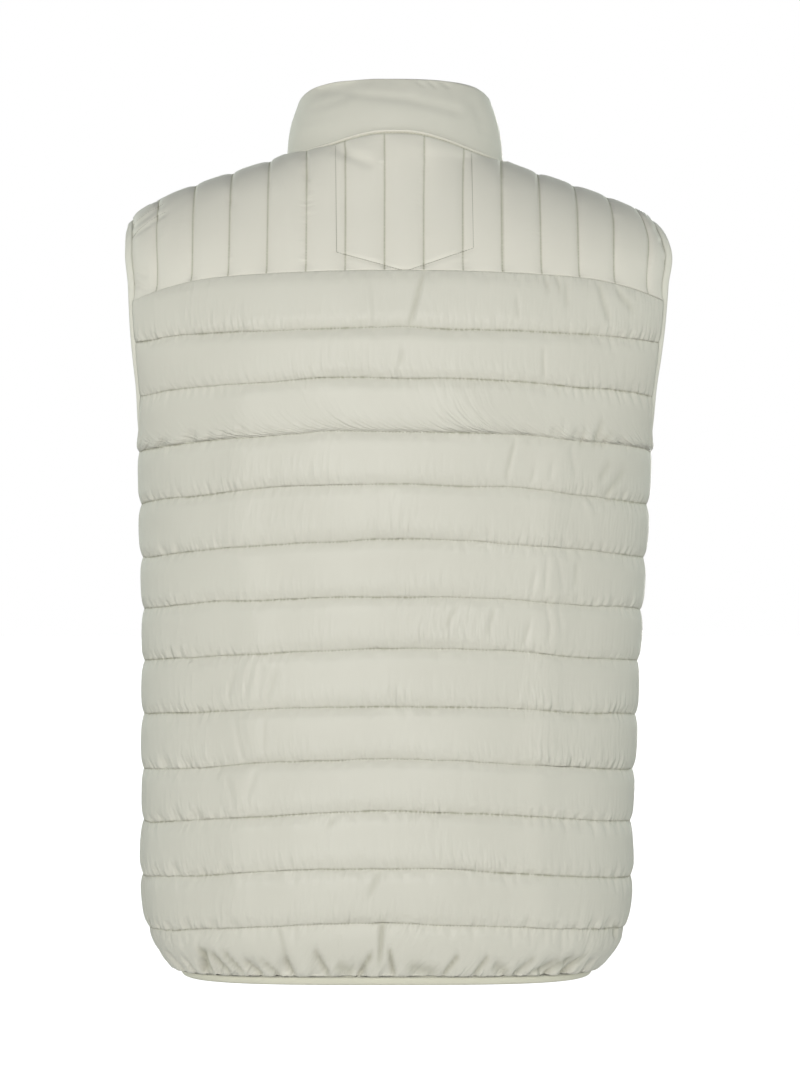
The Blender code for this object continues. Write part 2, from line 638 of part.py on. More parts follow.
def build():
    for obj in list(bpy.data.objects):
        bpy.data.objects.remove(obj, do_unlink=True)

    shell = (0.66, 0.65, 0.57)
    trim = (0.58, 0.58, 0.52)
    metal = (0.45, 0.45, 0.43)

    back = body_panel("back_panel", 1, 0, 24, shell)
    fronts = {
        1: body_panel("front_panel_left", -1, 1, 12, shell),
        -1: body_panel("front_panel_right", -1, -1, 12, shell)}
    yoke, neck_back = yoke_panel("back_yoke", 1, 0, shell)
    front_yokes = {
        1: yoke_panel("front_yoke_left", -1, 1, shell),
        -1: yoke_panel("front_yoke_right", -1, -1, shell)}

    for side, word in ((1, "left"), (-1, "right")):
        rise = back[side][::-1] + yoke[side]
        fall = front_yokes[side][0][side][::-1] + fronts[side][side]
        middle = np.array([side * 0.22, 0.0, (ARMHOLE_TOP + ARMHOLE_FOOT) / 2])
        # Rows that end at one spot are kept once.
        path = []
        for p, n in rise + fall:
            if not path or np.linalg.norm(p - path[-1][0]) > 0.0012:
                path.append((p, n))
        if np.linalg.norm(path[0][0] - path[-1][0]) < 0.0012:
            path.pop()
        tape_ring(f"armhole_binding_{word}", path, True, ARMHOLE_TAPE, ARMHOLE_TAPE_THICK, middle, trim)

    last = np.array(float(LAST_ROW))
    turn = float(zip_angle(last))
    angles = np.linspace(-turn, turn, 73)
    hem = on_ring(last + 0.0 * angles, angles)
    edge = list(zip(hem, normals(hem)))
    tape_ring("hem_binding", edge, False, HEM_TAPE, HEM_TAPE_THICK, np.array([0.0, 0.0, -2.0]), trim)

    neck_left = front_yokes[1][1]
    neck_right = front_yokes[-1][1]
    ordered = neck_left[:-1] + neck_back[::-1] + neck_right[:-1][::-1]
    loft("collar", collar_rings(ordered), False, shell)

    path, run, out = zip_line(neck_left[0])
    tip = path[-1]
    grip = int(np.argmin(np.abs(path[:, 2] - (tip[2] - 0.012))))
    origin, up, face = path[grip], run[grip], out[grip]
    box_top = path[0][2] + run[0][2] * ZIP_BOX + SEAM_GAP
    for side, word in ((1, "left"), (-1, "right")):
        place, facing = stretch(path, out, box_top, tip[2])
        rings = strip_rings(
            place, facing, side * (CHAIN_HALF + SEAM_GAP), side * (ZIP_SLOT - SEAM_GAP), TAPE_THICK)
        loft(f"zip_tape_{word}", rings, False, trim)
    place, facing = stretch(path, out, box_top, origin[2] - 0.0062)
    loft("zip_chain", strip_rings(place, facing, -CHAIN_HALF, CHAIN_HALF, CHAIN_THICK), False, metal)
    low = block(path[0], run[0], out[0], ((-0.0055, 0.0055), (0.0, ZIP_BOX), (-0.0018, 0.0022)))
    new_object("zip_box", low, metal)

    inside = TAPE_THICK / 2 + SEAM_GAP
    front_plate = plate(origin, up, face, rounded(0.0045, -0.0055, 0.0055, 0.002), inside, inside + 0.0014)
    back_plate = plate(origin, up, face, rounded(0.0045, -0.0050, 0.0055, 0.002), -inside - 0.0012, -inside)
    bite = inside + 0.0004
    post = block(origin, up, face, ((-0.0020, 0.0020), (-0.0030, 0.0050), (-bite, bite)))
    seat = inside + 0.0014
    legs = [
        block(origin, up, face, ((-0.0011, 0.0011), (lo, hi), (seat - 0.0004, seat + 0.0030)))
        for lo, hi in ((-0.0034, -0.0024), (0.0024, 0.0034))]
    roof = block(origin, up, face, ((-0.0011, 0.0011), (-0.0034, 0.0034), (seat + 0.0026, seat + 0.0036)))
    combine("zip_slider", [front_plate, post, back_plate, *legs, roof], "UNION", metal)

    hinge = origin + face * (seat + 0.0013)
    tab = plate(hinge, up, face, rounded(0.0032, -0.0240, 0.0008, 0.0007), -0.0007, 0.0007)
    eye = block(hinge, up, face, ((-0.0017, 0.0017), (-0.0056, -0.0008), (-0.002, 0.002)))
    combine("zip_pull", [tab, eye], "DIFFERENCE", metal)


build()
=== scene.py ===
"""Looks of the quilted vest: padded panels, collar, elastic tapes, sewing, zip and the studio.

Metres, +Z up, in the frame of the solids: the front faces -Y, the back +Y and the wearer's left +X.
"""
import math
from collections import namedtuple

import bmesh
import bpy
import numpy as np
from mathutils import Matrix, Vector


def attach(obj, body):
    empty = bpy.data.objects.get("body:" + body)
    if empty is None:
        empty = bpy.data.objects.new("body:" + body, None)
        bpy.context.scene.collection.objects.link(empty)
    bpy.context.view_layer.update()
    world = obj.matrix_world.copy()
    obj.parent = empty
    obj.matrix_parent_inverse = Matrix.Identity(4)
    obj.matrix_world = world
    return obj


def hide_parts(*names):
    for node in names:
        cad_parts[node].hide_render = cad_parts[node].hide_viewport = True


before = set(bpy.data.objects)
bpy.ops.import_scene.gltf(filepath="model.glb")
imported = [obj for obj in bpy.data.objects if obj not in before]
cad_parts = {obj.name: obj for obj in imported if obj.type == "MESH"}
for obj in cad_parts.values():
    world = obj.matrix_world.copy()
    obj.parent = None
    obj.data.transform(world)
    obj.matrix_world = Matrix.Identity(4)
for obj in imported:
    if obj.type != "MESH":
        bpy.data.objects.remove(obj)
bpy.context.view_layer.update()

# Cloth
SEAM_GAP = 0.00001       # between two pieces that are sewn together
WALL = 0.0025            # panel pressed flat, as in the solids
BODY_LOFT = 0.0065       # rise of a level channel above the flat panel
YOKE_LOFT = 0.0042       # rise of an upright channel
LEAF = 0.0008            # thickness of a leaf of plain cloth
EDGE_SHARE = 0.30        # share of the loft left beside a sewn edge

# Armhole seen from the side, as an oval about the top of the side seam
ARMHOLE_TOP = -0.051
ARMHOLE_FOOT = -0.2456
ARMHOLE_BACK = 0.0617
ARMHOLE_FRONT = 0.068
ARMHOLE_POWER = 2.2
ARMHOLE_MIDDLE = (ARMHOLE_TOP + ARMHOLE_FOOT) / 2
ARMHOLE_HALF = (ARMHOLE_TOP - ARMHOLE_FOOT) / 2
ARMHOLE_TAPE = 0.0085          # width on the outside
ARMHOLE_TAPE_THICK = 0.0030

# Neck seam seen from above, as an oval
NECK_HALF = 0.092
NECK_BACK = 0.0735
NECK_FRONT = 0.0935
NECK_CENTRE = 0.0042           # the neck sits a little to the wearer's left
SHOULDER_SEAM_BACK = 0.012     # the shoulder seam lies this far behind the ridge at its outer end
SHOULDER_RUN = 0.12            # length of that seam

# Collar
COLLAR_THICK = 0.0050
COLLAR_TOP_HALF = 0.0815
COLLAR_TOP_BACK = 0.0570
COLLAR_TOP_FRONT = 0.0800
COLLAR_TOP_LEVELS = (0.0630, 0.0460, 0.0)      # top edge at the back, the sides and the front
COLLAR_BULGE = 0.0030

# Yoke, hem and zip
YOKE_PITCH = 0.0318
YOKE_LINES = 7           # upright stitch lines on each side of the centre
BACK_CENTRE = -0.0033    # middle of the back yoke's quilting
FRONT_CENTRE = 0.0015    # zip line at the front yokes and the collar
YOKE_REACH = 0.2255
BODY_PITCH = 0.044       # usual distance between two level lines of stitching
HEM_TAPE = 0.0090
HEM_TAPE_THICK = 0.0032
ZIP_SLOT = 0.0070        # from the centre line to the edge of each front
CHAIN_HALF = 0.0026
CHAIN_THICK = 0.0024
TAPE_THICK = 0.0010
ZIP_FOOT = -0.6835
ZIP_BOX = 0.0098         # length of the retaining box at the foot
BOX_HALF = 0.0055

Section = namedtuple("Section", "level centre half_width back front power")
# Level sections through the form that the panels lie on, from the hem up to the nape.
SECTIONS = (
    Section(-0.7000, 0.0115, 0.1640, 0.1040, 0.1040, 2.30),
    Section(-0.6800, 0.0115, 0.1745, 0.1090, 0.1090, 2.30),
    Section(-0.6550, 0.0115, 0.1925, 0.1165, 0.1150, 2.30),
    Section(-0.6200, 0.0113, 0.1998, 0.1205, 0.1185, 2.30),
    Section(-0.5600, 0.0110, 0.2005, 0.1210, 0.1205, 2.30),
    Section(-0.4900, 0.0093, 0.2022, 0.1195, 0.1220, 2.30),
    Section(-0.4300, 0.0078, 0.2032, 0.1185, 0.1245, 2.30),
    Section(-0.3700, 0.0064, 0.2050, 0.1195, 0.1270, 2.30),
    Section(-0.3100, 0.0053, 0.2080, 0.1220, 0.1290, 2.30),
    Section(-0.2456, 0.0042, 0.2115, 0.1245, 0.1295, 2.30),
    Section(-0.2000, 0.0032, 0.2235, 0.1255, 0.1280, 2.30),
    Section(-0.1700, 0.0026, 0.2320, 0.1250, 0.1255, 2.30),
    Section(-0.1400, 0.0020, 0.2370, 0.1230, 0.1210, 2.30),
    Section(-0.1100, 0.0015, 0.2395, 0.1180, 0.1135, 2.25),
    Section(-0.0800, 0.0015, 0.2385, 0.1095, 0.1030, 2.15),
    Section(-0.0600, 0.0050, 0.2265, 0.1025, 0.0955, 2.00),
    Section(-0.0475, 0.0085, 0.2110, 0.0975, 0.0910, 1.90),
    Section(-0.0346, 0.0125, 0.1835, 0.0930, 0.0862, 1.85),
    Section(-0.0216, 0.0135, 0.1450, 0.0885, 0.0814, 1.85),
    Section(-0.0080, 0.0110, 0.1030, 0.0840, 0.0764, 2.00),
    Section(0.0000, 0.0060, 0.0860, 0.0810, 0.0735, 2.15),
    Section(0.0130, 0.0042, 0.0650, 0.0755, 0.0685, 2.30),
    Section(0.0250, 0.0042, 0.0450, 0.0690, 0.0640, 2.30),
)
LEVELS = np.array([s.level for s in SECTIONS])
VALUES = np.array([s[1:] for s in SECTIONS])
SLOPES = np.gradient(VALUES, LEVELS, axis=0)

Row = namedtuple("Row", "level side_drop")
# Level stitch rows at the centre back, and how much lower each lies at the sides.
ROWS = (
    Row(-0.1038, 0.0085),
    Row(-0.1500, 0.0070),
    Row(-0.1905, 0.0105),
    Row(-0.2335, 0.0121),
    Row(-0.2765, 0.0146),
    Row(-0.3219, 0.0143),
    Row(-0.3673, 0.0130),
    Row(-0.4102, 0.0139),
    Row(-0.4572, 0.0120),
    Row(-0.5010, 0.0145),
    Row(-0.5431, 0.0160),
    Row(-0.5893, 0.0160),
    Row(-0.6339, 0.0145),
    Row(-0.6765, 0.0060),
)
LAST_ROW = len(ROWS) - 1
SIDE_X = 0.205           # distance from the centre line at which a row has its whole drop
MOST_DROP = 1.05         # share of the drop that a row never passes
# Towards the armholes the yoke seam falls away faster than the rows.
YOKE_FALL = 0.0115
YOKE_FALL_FROM = 0.14
YOKE_FALL_OVER = 0.08
# Near the hem the vest is turned a little, so the wearer's left side seam runs to the back.
HEM_TURN = 0.030
HEM_TURN_FROM = -0.46
HEM_TURN_OVER = 0.18


def section(level):
    """Centre, half width, back, front and power of the form at a level."""
    level = np.clip(np.asarray(level, float), LEVELS[0], LEVELS[-1])
    i = np.clip(np.searchsorted(LEVELS, level) - 1, 0, len(LEVELS) - 2)
    span = (LEVELS[i + 1] - LEVELS[i])[..., None]
    t = (level - LEVELS[i])[..., None] / span
    rise = t * t * (3 - 2 * t)
    bend = span * (t * (1 - t) ** 2 * SLOPES[i] - t * t * (1 - t) * SLOPES[i + 1])
    return np.moveaxis(VALUES[i] * (1 - rise) + VALUES[i + 1] * rise + bend, -1, 0)


def reach(x, y, z):
    """Below one inside the form and one on its surface."""
    centre, half, back, front, power = section(z)
    depth = np.where(np.asarray(y) > 0, back, front)
    return (np.abs(x - centre) / half) ** power + (np.abs(y) / depth) ** power


def unit(vectors):
    """Vectors brought to a length of one."""
    return vectors / np.linalg.norm(vectors, axis=-1, keepdims=True)


def normals(points):
    """Outward unit normals of the form at points on it."""
    step = 2e-5
    slope = np.zeros_like(points)
    for axis in range(3):
        ahead = points.copy()
        behind = points.copy()
        ahead[..., axis] += step
        behind[..., axis] -= step
        slope[..., axis] = reach(*np.moveaxis(ahead, -1, 0)) - reach(*np.moveaxis(behind, -1, 0))
    return unit(slope)


def row_level(row, x):
    """Height of a stitch row, whole or between two rows, at a distance from the centre line."""
    numbers = np.arange(len(ROWS))
    level = np.interp(row, numbers, [r.level for r in ROWS])
    drop = np.interp(row, numbers, [r.side_drop for r in ROWS])
    outward = np.maximum(0.0, np.abs(x) - YOKE_FALL_FROM) / YOKE_FALL_OVER
    fall = YOKE_FALL * outward ** 2 * np.maximum(0.0, 1 - np.asarray(row))
    return level - drop * np.minimum(MOST_DROP, np.abs(x) / SIDE_X) ** 2 - fall


def outside_armhole(y, z):
    """Positive on the panels, zero at the armhole edge and negative inside the armhole."""
    width = np.where(np.asarray(y) > 0, ARMHOLE_BACK, ARMHOLE_FRONT)
    height = np.abs(z - ARMHOLE_MIDDLE) / ARMHOLE_HALF
    return (np.abs(y) / width) ** ARMHOLE_POWER + height ** ARMHOLE_POWER - 1


def side_seam(side, z):
    """Depth of a side seam at a level."""
    if side < 0:
        return 0.0 * z
    t = np.clip((HEM_TURN_FROM - z) / HEM_TURN_OVER, 0.0, 1.0)
    return HEM_TURN * t * t * (3 - 2 * t)


def panel_edge(side, facing, z):
    """Depth at which a body panel ends: at the armhole, or at the side seam under it."""
    width = ARMHOLE_BACK if facing > 0 else ARMHOLE_FRONT
    share = np.clip(1 - (np.abs(z - ARMHOLE_MIDDLE) / ARMHOLE_HALF) ** ARMHOLE_POWER, 0.0, 1.0)
    hole = facing * width * share ** (1 / ARMHOLE_POWER)
    seam = side_seam(side, z) + facing * SEAM_GAP / 2
    wider = np.maximum(hole, seam) if facing > 0 else np.minimum(hole, seam)
    return np.where(share > 0.0, wider, seam)


def on_ring(row, angle, trim=0.0):
    """Points of body rows at angles round the form, from 0 at the centre back to pi at the front."""
    side = np.sign(angle)
    turn = np.abs(angle)
    x = 0.1 * np.ones_like(row + turn)
    for _ in range(8):
        z = row_level(row, x) + trim
        centre, half, back, front, power = section(z)
        x = half * np.abs(np.sin(turn)) ** (2 / power)
    depth = np.where(turn < math.pi / 2, back, -front)
    y = depth * np.abs(np.cos(turn)) ** (2 / power)
    return np.stack([centre + side * x, y, z], axis=-1)


def edge_angle(row, side, facing, trim=0.0):
    """Angle at which a body row meets the armhole or the side seam."""
    x = 0.2 * np.ones_like(row)
    for _ in range(12):
        z = row_level(row, x) + trim
        half, back, front, power = section(z)[1:]
        y = panel_edge(side, facing, z)
        depth = np.where(y > 0, back, front)
        angle = np.arccos(np.minimum(1.0, np.abs(y) / depth) ** (power / 2))
        x = half * np.sin(angle) ** (2 / power)
    return np.where(y > 0, angle, math.pi - angle)


def zip_angle(row, trim=0.0):
    """Angle at which a front row meets the zip slot."""
    z = row_level(row, ZIP_SLOT) + trim
    half, power = section(z)[[1, 4]]
    return math.pi - np.arcsin((ZIP_SLOT / half) ** (power / 2))


HALVINGS = 22


def bisect(inside, low, high):
    """Last value between low and high, for each element, at which a test still holds."""
    for _ in range(HALVINGS):
        middle = (low + high) / 2
        held = inside(middle)
        low = np.where(held, middle, low)
        high = np.where(held, high, middle)
    return low


LONGEST_RAY = 0.3


def on_ray(x, angle):
    """Point of the form at x, on a ray that turns from the back over the shoulder to the front."""
    foot = row_level(0.0, x)
    dy = np.cos(angle)
    dz = np.sin(angle)
    length = bisect(lambda r: reach(x, r * dy, foot + r * dz) < 1, 0.0 * dy, LONGEST_RAY + 0.0 * dy)
    return length * dy, foot + length * dz


def yoke_top(x, facing):
    """Depth at which a yoke ends: at the neck seam, or at the shoulder seam beside it."""
    out = np.abs(x - NECK_CENTRE)
    depth = NECK_BACK if facing > 0 else NECK_FRONT
    neck = facing * depth * np.sqrt(np.clip(1 - (out / NECK_HALF) ** 2, 0.0, 1.0))
    run = np.clip((out - NECK_HALF) / SHOULDER_RUN, 0.0, 1.0)
    seam = SHOULDER_SEAM_BACK * run ** 1.5 + facing * SEAM_GAP / 2
    return np.where(out < NECK_HALF - 1e-6, neck, seam)


CHEST_DEPTH = 0.1


def yoke_point(x, t, facing):
    """Point of a yoke at x and at a share of its way from the yoke seam to the top."""
    start = 0.0 if facing > 0 else math.pi
    target = yoke_top(x, facing)
    if facing > 0:
        top = bisect(lambda a: on_ray(x, a)[0] > target, 0.0 * x, math.pi + 0.0 * x)
    else:
        top = math.pi - bisect(lambda a: on_ray(x, math.pi - a)[0] < target, 0.0 * x, math.pi + 0.0 * x)
    # The first ray starts half a gap above the seam, at about the chest's depth.
    lift = SEAM_GAP / 2 / CHEST_DEPTH
    first = start + lift if facing > 0 else start - lift
    y, z = on_ray(x, first + (top - first) * t)
    return np.stack([x + 0.0 * y, y, z], axis=-1)


# Quilted panels

BODY_SEWN = 0.0054       # outer cloth over the form under a level line of stitching
YOKE_SEWN = 0.0036       # the same under an upright line
JOIN_SEWN = 0.0064       # at the seam between yoke and body
JOIN_OVER = 0.004        # height over which the yoke's cloth falls from that seam
NECK_SEWN = 0.0022       # at the neck seam
SHOULDER_SEWN = 0.0042   # at the shoulder seam
SHOULDER_RISE = 0.0005   # of the upright lines where they near it
SHOULDER_TIGHT = 0.10    # share of the loft that is lost there
BODY_STEPS = 16          # mesh rows in a level channel
YOKE_STEPS = 12          # mesh columns in an upright channel
YOKE_ROWS = 34
BODY_FADE = 0.040        # distance from a sewn edge at which a channel has its whole loft
YOKE_FADE = 0.016
YOKE_FOOT = 0.012        # height over which an upright channel rises from the yoke seam
BODY_ROUND = 5.0         # power of a level channel's outline as cut
BODY_SAG = 1.08          # above one, the channel is fullest below its middle
YOKE_ROUND = 4.5
YOKE_CUT = 0.8           # share of the loft in the cut of an upright channel

# Simulation of the cloth
ROUNDS = 260
PUSH = 2.0e-7            # how far the wadding presses the cloth out in a round
KEPT_MOTION = 0.90       # share of a round's motion that goes on in the next
AREA_RANGE = (0.05, 2.0)       # least and most area of a point, against the usual one
BODY_UNEVEN = 0.0005     # of the cloth before the first round
YOKE_UNEVEN = 0.0002
YOKE_LEAST = 0.0012      # least stand of a yoke's cloth over the form
YOKE_OVER = 0.0012       # most that it may stand above its loft

# Cloth to spare, as a share of its length
SLANT = -0.25            # columns by which creases lean from row to row
MOST_SPARE = 0.055       # most of it beside a level seam
SPARE_ABOVE = 0.22       # reach of that above the seam, in rows
SPARE_BELOW = 0.14
LOOSE_MEAN = 0.002
LOOSE_RANGE = 0.016
HEM_SPARE = 0.09         # drawn up by the hem elastic
YOKE_TAUT = 0.994        # cut of an upright channel against the form that it spans

# How far a level line of stitching wanders, in rows
LONG_WAVER = 0.030
SHORT_WAVER = 0.006

# Columns of a yoke, as distances from the centre line
ARMHOLE_IN = 0.15        # the armhole's edge lies between these two
ARMHOLE_OUT = 0.236
FIXED_COLUMNS = 0.11     # columns within this don't follow the armhole
NECK_TURNS = (70, 76, 82, 90)  # extra columns at the neck's corners, in degrees round the neck
COLUMN_GAP = 0.0012      # from such a column to the next
NARROW = 0.0009          # a column is unusual if it is narrower
TOP_ROWS = 0.0056        # from the top edge down to the evenly spaced rows

Ridge = namedtuple("Ridge", "distance rise sewn")
# Felled seam along the top of a yoke: distance from the edge, rise over the flat cloth, and how much
# painted shade of a line of stitching the row gets.
RIDGE = (
    Ridge(0.0042, 0.0003, 0.15),
    Ridge(0.0034, 0.0000, 0.70),
    Ridge(0.0028, 0.0012, 0.10),
    Ridge(0.0022, 0.0018, 0.00),
    Ridge(0.0014, 0.0018, 0.00),
    Ridge(0.0007, 0.0011, 0.15),
    Ridge(0.0000, 0.0000, 1.00),
)
RIDGE_DISTANCE = np.array([r.distance for r in RIDGE])[:, None]
TOPSTITCH = RIDGE[1].distance


def cluster(steps, pull):
    """Shares from 0 to 1 that lie closer together at both ends."""
    s = np.linspace(0.0, 1.0, steps + 1)
    return s - pull * np.sin(2 * math.pi * s) / (2 * math.pi)


def step_length(points, axis):
    """Distance from each point of a grid to the next along an axis."""
    return np.linalg.norm(np.diff(points, axis=axis), axis=-1)


def run_length(points, axis):
    """Distance along a line of points, or along the rows or columns of a grid."""
    steps = step_length(points, axis)
    pad = [(0, 0)] * steps.ndim
    pad[axis] = (1, 0)
    return np.cumsum(np.pad(steps, pad), axis=axis)


def soft_noise(rng, shape, cells):
    """Smooth random field from -1 to 1, with a number of cells down and across."""
    field = rng.uniform(-1.0, 1.0, (cells[0] + 1, cells[1] + 1))
    for axis, size in enumerate(cells):
        place = np.linspace(0.0, size, shape[axis])
        i = np.minimum(place.astype(int), size - 1)
        t = place - i
        t = t * t * (3 - 2 * t)
        t = t[:, None] if axis == 0 else t
        field = np.take(field, i, axis) * (1 - t) + np.take(field, i + 1, axis) * t
    return field


def slanted(field):
    """Field whose rows are shifted along, each a little more than the row above."""
    return np.stack([np.roll(row, round(k * SLANT)) for k, row in enumerate(field)])


def smooth(t, low, high):
    """Soft step from 0 at low to 1 at high."""
    t = np.clip((t - low) / (high - low), 0.0, 1.0)
    return t * t * (3 - 2 * t)


def edge_fade(distance, width):
    """Share of the loft at a distance in metres from a sewn edge."""
    t = np.clip(distance / width, 0.0, 1.0)
    return EDGE_SHARE + (1 - EDGE_SHARE) * t * (2 - t)


def pair(down, along):
    """The two ends of all threads that run so many rows down and columns along."""
    rows = slice(None, -down or None), slice(down, None)
    if along >= 0:
        columns = slice(None, -along or None), slice(along, None)
    else:
        columns = slice(-along, None), slice(None, along)
    return (rows[0], columns[0]), (rows[1], columns[1])


Thread = namedtuple("Thread", "down along grip least")
# Threads of the cloth: their direction in the grid, how firmly they keep their length, and the share
# of it to which they may be shortened before they push back.
THREADS = (
    Thread(0, 1, 0.60, 1.0),
    Thread(1, 0, 0.60, 1.0),
    Thread(1, 1, 0.15, 1.0),
    Thread(1, -1, 0.15, 1.0),
    Thread(0, 3, 0.25, 0.975),
    Thread(3, 0, 0.25, 0.975),
)


def cut_threads(start, along, down):
    """Ends, length and kind of all threads, from the lengths between neighbours as cut."""
    cut = np.pad(np.cumsum(along, axis=1), ((0, 0), (1, 0)))
    drop = np.pad(np.cumsum(down, axis=0), ((1, 0), (0, 0)))
    now_cut = run_length(start, 1)
    now_drop = run_length(start, 0)
    threads = []
    for thread in THREADS:
        first, second = pair(thread.down, thread.along)
        ends = (first[0], second[1]), (second[0], first[1])
        wanted = np.hypot(cut[ends[0]] - cut[first], drop[ends[1]] - drop[first])
        found = np.hypot(now_cut[ends[0]] - now_cut[first], now_drop[ends[1]] - now_drop[first])
        length = np.linalg.norm(start[second] - start[first], axis=-1) * wanted / found
        threads.append((first, second, length * thread.least, thread))
    return threads


def settle(start, out, held, along, down):
    """Cloth simulation of a panel: stitched points are held, and the wadding presses the rest out.

    along and down are the lengths of the threads between neighbours, as cut. Each round moves the free
    points on and then draws every thread back to its length, so cloth that is longer than its seam
    puckers beside it.
    """
    place = start.copy()
    before = start.copy()
    free = np.where(held, 0.0, 1.0)[..., None]
    threads = cut_threads(start, along, down)
    area = np.gradient(run_length(start, 1), axis=1) * np.gradient(run_length(start, 0), axis=0)
    push = np.clip(area / np.median(area), *AREA_RANGE)[..., None] * PUSH * out
    for _ in range(ROUNDS):
        move = (place - before) * KEPT_MOTION + push
        before = place
        place = place + move * free
        for first, second, length, thread in threads:
            gap = place[second] - place[first]
            size = np.linalg.norm(gap, axis=-1)
            error = size - length
            if thread.least < 1.0:
                error = np.minimum(error, 0.0)
            shift = gap * (0.5 * thread.grip * error / size)[..., None]
            place[first] += shift * free[first]
            place[second] -= shift * free[second]
    return place


def stand_over(cloth, base, out):
    """Distance of the cloth from the form, along the outward directions."""
    return np.einsum("ijk,ijk->ij", cloth - base, out)


def keep_between(cloth, base, out, low, high):
    """Cloth brought back to a lowest and highest stand over the form."""
    stand = stand_over(cloth, base, out)
    return cloth + out * (np.clip(stand, low, high) - stand)[..., None]


def doubled(grid, axis):
    """Grid with one smooth point added between each two along an axis."""
    grid = np.moveaxis(grid, axis, 0)
    wide = np.concatenate([2 * grid[:1] - grid[1:2], grid, 2 * grid[-1:] - grid[-2:-1]])
    full = np.empty((2 * len(grid) - 1, *grid.shape[1:]))
    full[::2] = grid
    full[1::2] = (9 * (wide[1:-2] + wide[2:-1]) - wide[:-3] - wide[3:]) / 16
    return np.moveaxis(full, 0, axis)


Quilt = namedtuple("Quilt", "shares base out cloth patch neck")
# A panel after its simulation: shares of the way between two lines of stitching, points of the form,
# outward directions, outer cloth, patches with more puckers, and for a yoke where the neck seam is.


def body_angles(rows, facing, side, trim, columns):
    """Angle of each column in each row of a body panel, and the columns' shares of the way across."""
    if facing > 0:
        first = -edge_angle(rows, -1, 1, trim)
        last = edge_angle(rows, 1, 1, trim)
    else:
        first = side * zip_angle(rows, trim)
        last = side * edge_angle(rows, side, -1, trim)
    angle = first[:, None] + (last - first)[:, None] * np.linspace(0.0, 1.0, 601)
    dense = on_ring(rows[:, None] + 0.0 * angle, angle, trim[:, None])
    run = run_length(dense, 1)
    # Columns keep their place from row to row, and only the outer ones follow the armhole.
    if facing > 0:
        zero = np.array([np.interp(0.0, a, r) for a, r in zip(angle, run)])
        share = np.linspace(-1.0, 1.0, columns + 1)
    else:
        zero = 0.0 * run[:, 0]
        share = np.linspace(0.0, 1.0, columns + 1)
    usual = np.median(run[:, -1] - zero)
    pull = smooth(np.abs(share), 0.45, 1.0)
    reach_up = (run[:, -1] - zero)[:, None]
    reach_down = zero[:, None]
    ends = np.where(share > 0, reach_up - usual, reach_down - usual)
    place = zero[:, None] + np.sign(share) * (np.abs(share) * usual + ends * pull)
    return np.array([np.interp(p, r, a) for p, r, a in zip(place, run, angle)]), share


def body_grid(facing, side, columns, rng):
    """Row numbers, form points and outward directions of a body panel."""
    inside = cluster(BODY_STEPS, 0.7)[:-1]
    rows = np.concatenate([k + inside for k in range(LAST_ROW)] + [[LAST_ROW]])
    trim = np.where(rows == 0, -SEAM_GAP / 2, 0.0)
    angle, share = body_angles(rows, facing, side, trim, columns)
    waver = LONG_WAVER * soft_noise(rng, angle.shape, (LAST_ROW, columns // 16))
    waver += SHORT_WAVER * soft_noise(rng, angle.shape, (LAST_ROW, columns // 4))
    # The edges of the panel stay where they are.
    between_seams = np.minimum(1.0, np.minimum(rows, LAST_ROW - rows))
    waver *= smooth(1 - np.abs(share), 0.0, 0.12) * between_seams[:, None]
    base = on_ring(rows[:, None] + waver, angle, trim[:, None])
    return rows, base, normals(base)


def body_cut(rows, base, step, rng):
    """Length of each step along the rows of a body panel, as cut."""
    columns = step.shape[1]
    # All rows of a channel are cut to one length, so beside a seam there is cloth to spare.
    channel = np.minimum(rows.astype(int), LAST_ROW - 1)
    longest = np.empty_like(step)
    for k in range(LAST_ROW):
        longest[channel == k] = step[channel == k].max(axis=0)
    v = rows % 1.0
    above = np.exp(-((1 - v) / SPARE_ABOVE) ** 2)
    beside = np.maximum(above, 0.5 * np.exp(-(v / SPARE_BELOW) ** 2))
    spare = np.clip(longest / step - 1, 0.0, MOST_SPARE) * beside[:, None]
    # The photograph shows more creases on the wearer's right and low down.
    place = (base[:, 1:] + base[:, :-1]) / 2
    busy = 0.3 + 0.7 * smooth(-place[..., 0], 0.03, 0.12) + 0.4 * smooth(-place[..., 2], 0.45, 0.62)
    loose = slanted(soft_noise(rng, step.shape, (13, 16)))
    spare += busy * np.maximum(-LOOSE_MEAN, LOOSE_MEAN + LOOSE_RANGE * loose)
    hem = smooth(rows, LAST_ROW - 0.70, LAST_ROW - 0.05)[:, None]
    drawn_up = soft_noise(rng, (1, columns), (1, columns // 10))
    gather = HEM_SPARE * np.maximum(0.1, 1 + 1.5 * drawn_up)
    return step * (1 + spare + gather * hem)


